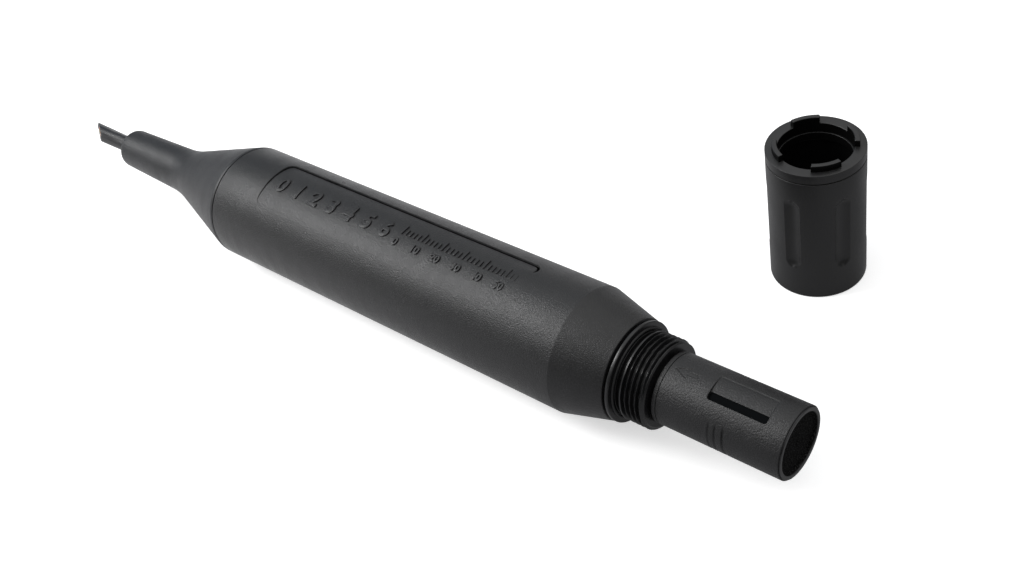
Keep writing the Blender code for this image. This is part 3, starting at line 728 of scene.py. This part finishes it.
def make_core_end(name, y, z):
    """One insulated core with its copper, cut along the same slant as the jacket."""
    parts = []
    for part, radius, length in ((name, CORE_R, CORE_LENGTH), (name + "_strand", STRAND_R, STRAND_LENGTH)):
        outline = rounded([(length, radius, 0), (0, radius, 0.1 * MM), (0, 0, 0), (length, 0, 0)])
        start_x = CORE_FRONT_X - length
        made = turned(part, [(station + start_x, r) for station, r in outline], columns(12.0))
        made.data.transform(Matrix.Translation((0, y, z)))
        for vertex in made.data.vertices:
            lean = Vector((vertex.co.y, vertex.co.z)).dot(CUT_DIRECTION) / CABLE_R
            vertex.co.x -= CUT_RISE * lean
        parts.append(made)
    return parts


# Sensor head

THREAD_R = 16.0 * MM
THREAD_LENGTH = 9.9 * MM
THREAD_TURNS = 5
THREAD_DEPTH = 1.6 * MM
THREAD_START_X = THREAD_END_X - THREAD_LENGTH


def thread_relief(station, angle):
    """One right-handed helix that starts from a plain collar and fades out at the chamfered end."""
    turns = (station - THREAD_START_X) * THREAD_TURNS / THREAD_LENGTH - angle / 360
    from_crest = np.abs(turns - np.round(turns)) * 2
    fade_out = 0.5 * ease(station, THREAD_END_X - 1.3 * MM, THREAD_END_X - 0.6 * MM)
    from_collar = np.abs(station - THREAD_START_X - 0.85 * MM)
    collar = 1 - ease(from_collar, 0.25 * MM, 0.5 * MM)
    valley = ease(from_crest, 0.04, 0.45) * (1 - fade_out) * (1 - collar)
    fade_in = ease(station, THREAD_START_X - 0.2 * MM, THREAD_START_X + 0.5 * MM)
    chamfer = np.maximum(station - THREAD_END_X + 0.5 * MM, 0)
    return THREAD_DEPTH * (1 - (1 - valley) * fade_in) + chamfer


def make_threaded_head():
    """Spigot, flange, seal seat, neck and thread in one turned piece."""
    seat_front_x = THREAD_START_X - 1.4 * MM
    flange_front_x = THREAD_START_X - 2.3 * MM
    flange_rear_x = flange_front_x - 1.4 * MM
    stem_rear_x = span("sensor_stem")[0] - 0.3 * MM
    spigot_r = 15.5 * MM
    seat_r = 15.3 * MM
    neck_r = 13.5 * MM
    bore_r = STEM_R + 0.3 * MM
    rear_bore_r = 7.5 * MM
    outline = rounded([
        (THREAD_END_X, bore_r, 0.2 * MM),
        (THREAD_END_X, THREAD_R, 0),
        (THREAD_START_X, THREAD_R, 0),
        (THREAD_START_X, neck_r, 0),
        (seat_front_x, neck_r, 0),
        (seat_front_x, seat_r, 0.15 * MM),
        (flange_front_x, seat_r, 0.1 * MM),
        (flange_front_x, FLANGE_R, 0.4 * MM),
        (flange_rear_x, FLANGE_R, 0.4 * MM),
        (flange_rear_x, spigot_r, 0.1 * MM),
        (HEAD_REAR_X, spigot_r, 0.5 * MM),
        (HEAD_REAR_X, rear_bore_r, 0),
        (stem_rear_x, rear_bore_r, 0),
        (stem_rear_x, bore_r, 0),
    ])
    outline = refined(outline, THREAD_START_X, THREAD_END_X, 0.09 * MM)

    def relief(station, angle):
        on_thread = station > THREAD_START_X - 0.01 * MM
        return np.where(on_thread, thread_relief(station, angle), 0.0)

    return turned("head_shell", outline, columns(2.5), relief, THREAD_R - 0.35 * MM)


def make_stem():
    """The stem that the cap slides over, with a lead-in and two seal grooves."""
    rear_x = span("sensor_stem")[0]
    bore_r = 8.2 * MM
    groove_r = STEM_R - 1.1 * MM
    half_groove = 1.2 * MM
    corners = [(STEM_FRONT_X, bore_r, 0.15 * MM), (STEM_FRONT_X, STEM_R, 0.6 * MM)]
    for seal in ("stem_o_ring_front", "stem_o_ring_rear"):
        middle = sum(span(seal)) / 2
        corners += [
            (middle + half_groove, STEM_R, 0.15 * MM),
            (middle + half_groove, groove_r, 0.1 * MM),
            (middle - half_groove, groove_r, 0.1 * MM),
            (middle - half_groove, STEM_R, 0.15 * MM),
        ]
    corners += [(rear_x, STEM_R, 0), (rear_x, bore_r, 0)]
    return turned("stem_tube", rounded(corners), columns(3.0))


# Sensor cap

RELIEF_REAR_X = SEAM_X + 214 * MM
RELIEF_FRONT_X = SEAM_X + 252 * MM
POCKET_REAR_X = SEAM_X + 229.4 * MM
POCKET_FRONT_X = SEAM_X + 250.9 * MM
POCKET_LOW_ANGLE = 77.0
POCKET_HIGH_ANGLE = 121.0
SLOT_LOW_ANGLE = 108.0
SLOT_DEPTH = 0.9 * MM
ARROW_TIP_X = SEAM_X + 214.8 * MM
ARROW_ANGLE = 97.0
GRIP_MIDDLE_ANGLE = 187.0
GRIP_GROOVES = ((233.0 * MM, 0.3 * MM), (235.4 * MM, 0.35 * MM), (238.2 * MM, 0.5 * MM))


def pocket_relief(station, angle):
    """The label pocket: a shallow floor that rolls down into a deep channel along one edge."""
    middle_x = (POCKET_REAR_X + POCKET_FRONT_X) / 2
    middle_angle = (POCKET_LOW_ANGLE + POCKET_HIGH_ANGLE) / 2
    half_width = CAP_R * math.radians(POCKET_HIGH_ANGLE - POCKET_LOW_ANGLE) / 2
    across = CAP_R * np.radians(angle - middle_angle)
    half_length = (POCKET_FRONT_X - POCKET_REAR_X) / 2
    edge = rounded_box(station - middle_x, across, half_length, half_width, 1.1 * MM)
    floor = 0.22 * MM + 0.33 * MM * ease(angle, 80, SLOT_LOW_ANGLE)
    slot_width = CAP_R * math.radians(POCKET_HIGH_ANGLE - SLOT_LOW_ANGLE)
    from_slot = across - half_width + slot_width / 2
    slot = rounded_box(station - middle_x, from_slot, half_length, slot_width / 2, 1 * MM)
    shallow = floor * (1 - ease(edge, -0.25 * MM, 0.05 * MM))
    return shallow + SLOT_DEPTH * (1 - ease(slot, -0.2 * MM, 0.05 * MM))


def arrow_relief(station, angle):
    """A shallow arrow that points at the thread, for lining the cap up."""
    u = station - ARROW_TIP_X
    v = CAP_R * np.radians(angle - ARROW_ANGLE)
    length, half_width, depth = 5.1 * MM, 2.2 * MM, 0.32 * MM
    head = polygon(u, v, [(0.0, 0.0), (length, -half_width), (length, half_width)])
    shaft = rounded_box(u - 6.6 * MM, v, 2 * MM, 0.7 * MM, 0.2 * MM)
    return depth * (1 - ease(np.minimum(head, shaft), -0.15 * MM, 0.1 * MM))


def grip_relief(station, angle):
    """Three short grooves on each side, for a finger grip."""
    cut = 0.0
    for offset, depth in GRIP_GROOVES:
        from_groove = np.abs(station - SEAM_X - offset)
        for middle in (GRIP_MIDDLE_ANGLE, GRIP_MIDDLE_ANGLE - 180):
            aside = np.abs((angle - middle + 180) % 360 - 180)
            length = 1 - ease(aside, 30, 38)
            cut = cut + depth * length * (1 - ease(from_groove, 0.15 * MM, 0.55 * MM))
    return cut


def cap_relief(station, angle):
    return pocket_relief(station, angle) + arrow_relief(station, angle) + grip_relief(station, angle)


def make_cap():
    """The cap's shell: a fine groove near its base, and a wider bore at the nose for the ring."""
    groove_x = CAP_BASE_X + 1.7 * MM
    groove_r = CAP_R - 0.35 * MM
    half_groove = 0.13 * MM
    bore_r = 11.1 * MM
    insert_bore_r = 11.9 * MM
    insert_rear_x = -3.7 * MM
    lip_r = insert_bore_r + 0.6 * MM
    front_x = CAP_FRONT_X + 0.55 * MM
    outline = rounded([
        (front_x, lip_r, 0.05 * MM),
        (front_x, CAP_R, 0.3 * MM),
        (groove_x + half_groove, CAP_R, 0.05 * MM),
        (groove_x + half_groove, groove_r, 0),
        (groove_x - half_groove, groove_r, 0),
        (groove_x - half_groove, CAP_R, 0.05 * MM),
        (CAP_BASE_X, CAP_R, 0.3 * MM),
        (CAP_BASE_X, bore_r, 0.5 * MM),
        (insert_rear_x, bore_r, 0),
        (insert_rear_x, insert_bore_r, 0),
        (CAP_FRONT_X, insert_bore_r, 0),
        (CAP_FRONT_X, lip_r, 0),
    ])
    outline = refined(outline, RELIEF_REAR_X, RELIEF_FRONT_X, 0.2 * MM)
    angles = columns(2.0, (POCKET_LOW_ANGLE - 2, POCKET_HIGH_ANGLE + 2, 0.7))
    return turned("cap_body", outline, angles, cap_relief, CAP_R - 0.01 * MM)


def make_slot_liner():
    """A dull black strip in the bottom of the pocket's deep slot: a sheet of painted shade."""
    top_r = CAP_R - 0.95 * MM
    low_r = top_r - 0.3 * MM
    rear_x = POCKET_REAR_X - 0.2 * MM
    front_x = POCKET_FRONT_X + 0.2 * MM
    angles = np.linspace(SLOT_LOW_ANGLE + 0.5, POCKET_HIGH_ANGLE + 0.5, 9)
    corners = ((rear_x, top_r), (rear_x, low_r), (front_x, low_r), (front_x, top_r))
    rows = np.array([circle(station, radius, angles) for station, radius in corners])
    index = np.arange(4 * len(angles)).reshape(4, len(angles))
    ends = [index[:, 0].tolist(), index[::-1, -1].tolist()]
    return add_mesh("slot_shade_sheet", rows.reshape(-1, 3).tolist(), quads(np.vstack([index, index[:1]])) + ends)


def make_foil_ring():
    """The nose ring: a flat rim round the foil, lapped by the cap's shell."""
    rim_r, skirt_r, window_r = 12.3 * MM, 11.6 * MM, 8.8 * MM
    recess_r = FOIL_R + 0.3 * MM
    rear_x, recess_x, rim_rear_x = -3.4 * MM, -1.1 * MM, 0.5 * MM
    outline = rounded([
        (NOSE_X, FOIL_R + 0.8 * MM, 0.15 * MM),
        (NOSE_X, rim_r, 0.15 * MM),
        (rim_rear_x, rim_r, 0),
        (rim_rear_x, skirt_r, 0),
        (rear_x, skirt_r, 0),
        (rear_x, window_r + 0.8 * MM, 0),
        (rear_x + 1 * MM, window_r, 0),
        (recess_x, window_r, 0),
        (recess_x, recess_r, 0),
        (-0.1 * MM, recess_r, 0),
    ])
    return turned("nose_ring", outline, columns(2.5))


def make_foil():
    """The sensing foil with its upturned edge, and the slight unevenness of a cast coating."""
    rng = np.random.default_rng(7)
    angles = columns(2.5)
    back_x, lip_x = -0.8 * MM, 0.95 * MM
    outline = [
        (back_x, 0.0),
        (back_x, FOIL_R),
        (lip_x, FOIL_R + 0.6 * MM),
        (lip_x, FOIL_R + 0.5 * MM),
        (0.0, FOIL_R - 0.1 * MM),
    ]
    rows = [circle(station, radius, angles) for station, radius in outline]
    for radius in np.linspace(0, FOIL_R - 0.3 * MM, 30)[::-1]:
        rough = 0.02 * MM * rng.standard_normal(len(angles)) * (radius > 0)
        rows.append(circle(-0.02 * MM + rough, radius, angles))
    return skin("foil_disc", np.array(rows), closed=False)


# Optics behind the cap


def make_window():
    rear_x, front_x = span("optic_window")
    radius = reach("optic_window")
    outline = rounded([
        (front_x, 0, 0),
        (front_x, radius, 0.25 * MM),
        (rear_x, radius, 0.1 * MM),
        (rear_x, 0, 0),
    ])
    return turned("window_disc", outline, columns(4.0), closed=False)


def make_lamp(node):
    """A small domed lamp in its bore."""
    low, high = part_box(node)
    middle = (low + high) / 2
    radius = (high.y - low.y) / 2
    outline = [(low.x, 0.0), (low.x, radius)]
    for step in range(9):
        turn = math.pi / 2 * step / 8
        outline.append((high.x - radius + radius * math.sin(turn), radius * math.cos(turn)))
    made = turned(node + "_lamp", outline, columns(10.0), closed=False)
    made.data.transform(Matrix.Translation((0, middle.y, middle.z)))
    return made


# Guard

FLUTE_HEADING = -29.7
TAB_HEADING = -46.0
TAB_HALF_WIDTH = 20.5


def flute_relief(station, heading):
    """Six scooped finger flutes, each the mark of a round-ended bar."""
    bar_r, bar_offset = 4.2 * MM, 2.85 * MM
    low, high = 16.6 * MM, 41.4 * MM
    aside = GUARD_R * np.radians((heading - FLUTE_HEADING + 30) % 60 - 30)
    beyond = np.maximum(np.maximum(low - station, station - high), 0)
    depth = np.sqrt(np.maximum(bar_r**2 - aside**2 - beyond**2, 0)) - bar_offset
    return np.maximum(depth, 0)


def inner_thread(station, angle):
    """The guard's own thread, which clears the head's crests."""
    pitch = THREAD_LENGTH / THREAD_TURNS
    turns = station / pitch + angle / 360
    from_crest = np.abs(turns - np.floor(turns) - 0.5) * 2
    return 0.7 * MM * ease(from_crest, 0.15, 0.8)


def make_guard_sleeve():
    """The guard's tube: fluted outside, threaded at its mouth, with a lip at the end ring."""
    lip_r = 12.93 * MM
    bore_r = 14.2 * MM
    thread_r = THREAD_R + 0.15 * MM
    thread_top = THREAD_LENGTH + 1.1 * MM
    outline = rounded([
        (GUARD_JOIN, lip_r, 0.15 * MM),
        (GUARD_JOIN, GUARD_R, 0.25 * MM),
        (0.0, GUARD_R, 0.5 * MM),
        (0.0, thread_r, 0.3 * MM),
        (thread_top, thread_r, 0.0),
        (thread_top + 1.5 * MM, bore_r, 0.3 * MM),
        (GUARD_JOIN - 4 * MM, bore_r, 0.3 * MM),
        (GUARD_JOIN - 3 * MM, lip_r, 0.2 * MM),
    ])
    outline = refined(outline, 13 * MM, 45.5 * MM, 0.5 * MM)
    outline = refined(outline, 0.6 * MM, thread_top, 0.15 * MM)
    stations, radii, turns = laid_round(outline, columns(0.75))
    outer = radii > GUARD_R - 0.01 * MM
    threaded = (np.abs(radii - thread_r) < 0.01 * MM) & (stations > 0.5 * MM) & (stations < thread_top)
    radii = radii - np.where(outer, flute_relief(stations, turns), 0)
    radii = radii + np.where(threaded, inner_thread(stations, turns), 0)
    return skin("guard_tube", upright(stations, radii, turns))


def evenly(outline, count):
    """The same outline as count points, spread by length."""
    points = np.array(outline)
    steps = np.hypot(*np.diff(points, axis=0).T)
    reached = np.concatenate([[0], np.cumsum(steps)])
    wanted = np.linspace(0, reached[-1], count)
    return np.stack([np.interp(wanted, reached, points[:, axis]) for axis in (0, 1)], -1)


GUARD_TAB_R = GUARD_R - 2.45 * MM
RING_BASE_Z = GUARD_JOIN + 0.3 * MM
RING_TOP_Z = RING_BASE_Z + 3.6 * MM


def rim_outlines():
    """The end ring's outline without a tab and with one, point for point."""
    bore_r = 13.3 * MM
    foot_r = GUARD_TAB_R + 0.3 * MM
    base = [(RING_BASE_Z + 0.25 * MM, GUARD_R), (RING_BASE_Z, GUARD_R - 0.25 * MM)]
    with_tab = rounded([
        (RING_BASE_Z, bore_r, 0),
        (GUARD_TOP, bore_r, 0.35 * MM),
        (GUARD_TOP, GUARD_TAB_R, 0.35 * MM),
        (RING_TOP_Z, GUARD_TAB_R, 0.12 * MM),
        (RING_TOP_Z, foot_r, 0),
    ])
    without = rounded([(RING_BASE_Z, bore_r, 0), (RING_TOP_Z, bore_r, 0.35 * MM), (RING_TOP_Z, foot_r, 0)])
    border = rounded([
        (RING_TOP_Z, foot_r, 0),
        (RING_TOP_Z, GUARD_R, 0.15 * MM),
        (RING_BASE_Z + 0.4 * MM, GUARD_R, 0),
    ])[1:]
    return [np.concatenate([base, evenly(top, 40), border]) for top in (without, with_tab)]


def rim_headings():
    """Headings round the end ring, each with how far the tab has risen there, from 0 to 1."""
    wall = 0.02
    edge_r = 0.4 * MM
    edge = math.degrees(edge_r / GUARD_TAB_R)
    steps = np.linspace(0, 1, 6)
    lift = 1 - edge_r / (GUARD_TOP - RING_TOP_Z) * (1 - np.sqrt(1 - (1 - steps) ** 2))
    pairs = []
    for middle in TAB_HEADING + np.arange(0, 360, 90):
        for side in (-1, 1):
            pairs.append((middle + side * (TAB_HALF_WIDTH + wall), 0.0))
            pairs += zip(middle + side * (TAB_HALF_WIDTH - edge * steps), lift)
        pairs += [(middle + offset, 1.0) for offset in np.arange(-18, 19, 3)]
        pairs += [(middle + offset, 0.0) for offset in np.arange(22.5, 68, 2.5)]
    return np.array(sorted((heading % 360, rise) for heading, rise in pairs)).T


def make_guard_end_ring():
    """The front ring: one outline without a tab and one with, blended as they are swept round."""
    low, tall = rim_outlines()
    headings, rise = rim_headings()
    grid = low[:, None, :] + (tall - low)[:, None, :] * rise[None, :, None]
    return skin("guard_rim", upright(grid[..., 0], grid[..., 1], headings + 0 * grid[..., 0]))


# Putting the pieces on their bodies


def finish_piece(made, material, body, slot, *stands_for):
    """Gives a piece its material and body, and hides the CAD nodes that it stands for. Its slot is not used.
    """
    made.data.materials.append(material)
    if body:
        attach(made, body)
    if stands_for:
        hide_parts(*stands_for)


def dress_probe():
    finish_piece(make_housing(), body_plastic, "probe", "body_plastic", "housing")
    finish_piece(make_panel_scale(), body_plastic, "probe", "body_plastic")
    finish_piece(make_boot(), boot_plastic, "probe", "body_plastic", "strain_relief_boot")
    finish_piece(make_threaded_head(), head_plastic, "probe", "dark_plastic", "threaded_head")
    finish_piece(make_stem(), head_plastic, "probe", "dark_plastic", "sensor_stem")
    seals = (
        ("neck_o_ring", 0.5 * MM, -0.5 * MM),
        ("stem_o_ring_front", 0.6 * MM, 0),
        ("stem_o_ring_rear", 0.6 * MM, 0),
    )
    for node, radius, shift in seals:
        seal = ring(node + "_seal", sum(span(node)) / 2 + shift, reach(node) - radius, radius)
        finish_piece(seal, seal_rubber, "probe", "seal_rubber", node)
    glass = clear_glass("window_glass", (0.9, 0.95, 0.97))
    finish_piece(make_window(), glass, "probe", "window_glass", "optic_window")
    blue = clear_glass("blue_lens", (0.08, 0.25, 0.95), 0.1, 0.5)
    red = clear_glass("red_lens", (0.95, 0.08, 0.05), 0.1, 0.5)
    finish_piece(make_lamp("blue_led"), blue, "probe", "blue_lens", "blue_led")
    finish_piece(make_lamp("red_led"), red, "probe", "red_lens", "red_led")


INSULATION = {
    "red": (0.5, 0.02, 0.02),
    "black": (0.02, 0.02, 0.02),
    "white": (0.75, 0.75, 0.72),
    "green": (0.02, 0.3, 0.07),
}


def dress_cable():
    cable = make_cable()
    finish_piece(cable, cable_jacket, None, "cable_jacket", "cable", "cable_tail")
    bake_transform(cable)
    offset = 1.35 * MM
    for number, (colour, value) in enumerate(INSULATION.items()):
        turn = math.radians(45 + 90 * number)
        parts = make_core_end(f"core_end_{colour}", offset * math.cos(turn), offset * math.sin(turn))
        sleeve = plain_solid(f"{colour}_core", value, 0.4)
        finish_piece(parts[0], sleeve, "cable_tail", f"{colour}_insulation")
        finish_piece(parts[1], copper, "cable_tail", "steel")


def dress_cap():
    finish_piece(make_cap(), cap_plastic, "sensor_cap", "body_plastic", "cap_shell")
    # a dull black sheet of painted shade in the pocket's slot
    finish_piece(make_slot_liner(), slot_shade_black, "sensor_cap", "dark_plastic")
    finish_piece(make_foil_ring(), head_plastic, "sensor_cap", "dark_plastic", "foil_ring")
    finish_piece(make_foil(), foil_coating, "sensor_cap", "foil_coating", "sensing_foil")


def dress_guard():
    finish_piece(make_guard_sleeve(), guard_plastic, "guard", "guard_plastic", "guard_sleeve")
    finish_piece(make_guard_end_ring(), guard_plastic, "guard", "guard_plastic", "guard_end_ring")


def repaint(material, *nodes):
    """Gives carried-over CAD nodes a better material."""
    for node in nodes:
        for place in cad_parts[node].material_slots:
            place.material = material


def paint_inner_parts():
    chip = plain_solid("chip_plastic", (0.02, 0.02, 0.022), 0.35)
    white = plain_solid("white_plastic", (0.7, 0.7, 0.67), 0.45, 0.05)
    repaint(board_laminate("green_laminate"), "circuit_board", "cap_memory_board")
    repaint(chip, "microcontroller", "signal_amplifier", "led_driver", "surge_suppressor", "thermistor")
    repaint(chip, "power_inductor", "storage_capacitor")
    repaint(white, "board_sled", "cable_connector", "sensor_connector", "desiccant_pack")
    repaint(plain_solid("amber_film", (0.5, 0.22, 0.04), 0.3), "flex_circuit")
    repaint(steel, "crystal", "gland_washer", "photodiode", *(f"board_screw_{n}" for n in (1, 2, 3, 4)))
    repaint(seal_rubber, "rear_o_ring", "head_o_ring", "gland_grommet")
    repaint(head_plastic, "rear_bulkhead", "gland_nut", "optics_block")
    repaint(clear_glass("filter_glass", (0.6, 0.05, 0.03), 0.05, 0.6), "optical_filter")
    for colour, value in INSULATION.items():
        repaint(plain_solid(f"wire_{colour}", value, 0.4), f"wire_{colour}")


# Studio

CAMERA_PLACE = (138.46 * MM, -221.87 * MM, 312.30 * MM)
CAMERA_TARGET = (-125.264 * MM, 11.349 * MM, 0)
CAMERA_ROLL = math.radians(-13.643)
CAMERA_LENS = 44.84
FLOOR_SIZE = 40.0
FLOOR_GLOW = 0.55
KEY_TARGET = Vector((-0.13, 0.02, 0.0))
KEY_DIRECTION = Vector((-0.64, -0.36, 0.68))
KEY_DISTANCE = 1.2
KEY_SIZE = 0.52
KEY_POWER = 9.8


def make_floor():
    """A pale sheet that shows near white. In reflections it shows grey with a painted glow, brighter on the
    left, where the light is.
    """
    made, tree, shader = blank("pale_floor")
    cloud = noise(tree, 90 * MM, 2.0)
    seen = add(tree, "ShaderNodeLightPath").outputs["Is Camera Ray"]
    pale = tint(tree, cloud, (0.78, 0.78, 0.78, 1), (0.82, 0.82, 0.82, 1))
    position = add(tree, "ShaderNodeNewGeometry").outputs["Position"]
    # painted glow, seen in reflections and shed on the parts, brighter toward the cable end where the light
    # is
    painted_glow = spread(tree, along(tree, position, "X"), 0.75, 0.17, -0.33, -0.05)
    glow = add(tree, "ShaderNodeMix", {"Factor": seen, "A": painted_glow, "B": FLOOR_GLOW}, data_type="FLOAT")
    fill(tree, shader, {
        "Base Color": tint(tree, seen, (0.2, 0.2, 0.21, 1), pale),
        "Roughness": 0.8,
        "Specular IOR Level": 0.1,
        "Emission Color": (1.0, 1.0, 1.0, 1.0),
        "Emission Strength": glow.outputs[0],
    })
    bpy.ops.mesh.primitive_plane_add(size=FLOOR_SIZE, location=(-0.12, 0.0, FLOOR_Z))
    floor = bpy.context.active_object
    floor.name = "floor"
    floor.data.materials.append(made)


def aim(made, place, target, roll=0.0):
    back = (Vector(place) - Vector(target)).normalized()
    made.location = place
    turn = back.to_track_quat("Z", "Y") @ Matrix.Rotation(roll, 3, "Z").to_quaternion()
    made.rotation_mode = "QUATERNION"
    made.rotation_quaternion = turn


def softbox(name, place, target, size, power):
    light = bpy.data.lights.new(name, "AREA")
    light.size = size
    light.energy = power
    made = bpy.data.objects.new(name, light)
    bpy.context.scene.collection.objects.link(made)
    aim(made, place, target)


def lobe(tree, facing, direction, start, end, strength):
    """Light from one side of the surroundings, soft at its border."""
    toward = vector_math(tree, "DOT_PRODUCT", facing, Vector(direction).normalized())
    return spread(tree, toward.outputs["Value"], 0.0, strength, start, end)


def make_surroundings():
    """A bright top, a dimmer back and front left, and little light from elsewhere."""
    world = bpy.data.worlds.new("studio")
    world.use_nodes = True
    tree = world.node_tree
    facing = placed(tree, "Generated")
    total = 0.06
    top = ((0, 0, 1), 0.35, 0.75, 0.9)
    back = ((0, 1, 0.1), 0.2, 0.8, 0.22)
    front_left = ((-0.85, -0.45, 0.1), 0.78, 0.95, 0.38)
    for side in (top, back, front_left):
        total = combine(tree, "ADD", lobe(tree, facing, *side), total)
    background = tree.nodes["Background"]
    bluish = lobe(tree, facing, (-1, 0.3, 0.2), 0.72, 0.95, 1.0)
    colour = tint(tree, bluish, (1, 1, 1, 1), (0.82, 0.95, 1.1, 1))
    fill(tree, background, {"Color": colour, "Strength": total})
    bpy.context.scene.world = world


def make_key_light():
    place = KEY_TARGET + KEY_DIRECTION.normalized() * KEY_DISTANCE
    softbox("key", place, KEY_TARGET, KEY_SIZE, KEY_POWER)


def make_camera():
    camera = bpy.data.objects.new("camera", bpy.data.cameras.new("camera"))
    bpy.context.scene.collection.objects.link(camera)
    camera.data.lens = CAMERA_LENS
    camera.data.sensor_width = 36.0
    camera.data.clip_start = 0.01
    aim(camera, CAMERA_PLACE, CAMERA_TARGET, CAMERA_ROLL)
    bpy.context.scene.camera = camera


dress_probe()
dress_cable()
dress_cap()
dress_guard()
paint_inner_parts()
make_floor()
make_surroundings()
make_key_light()
make_camera()
bpy.context.scene.view_settings.view_transform = "Standard"
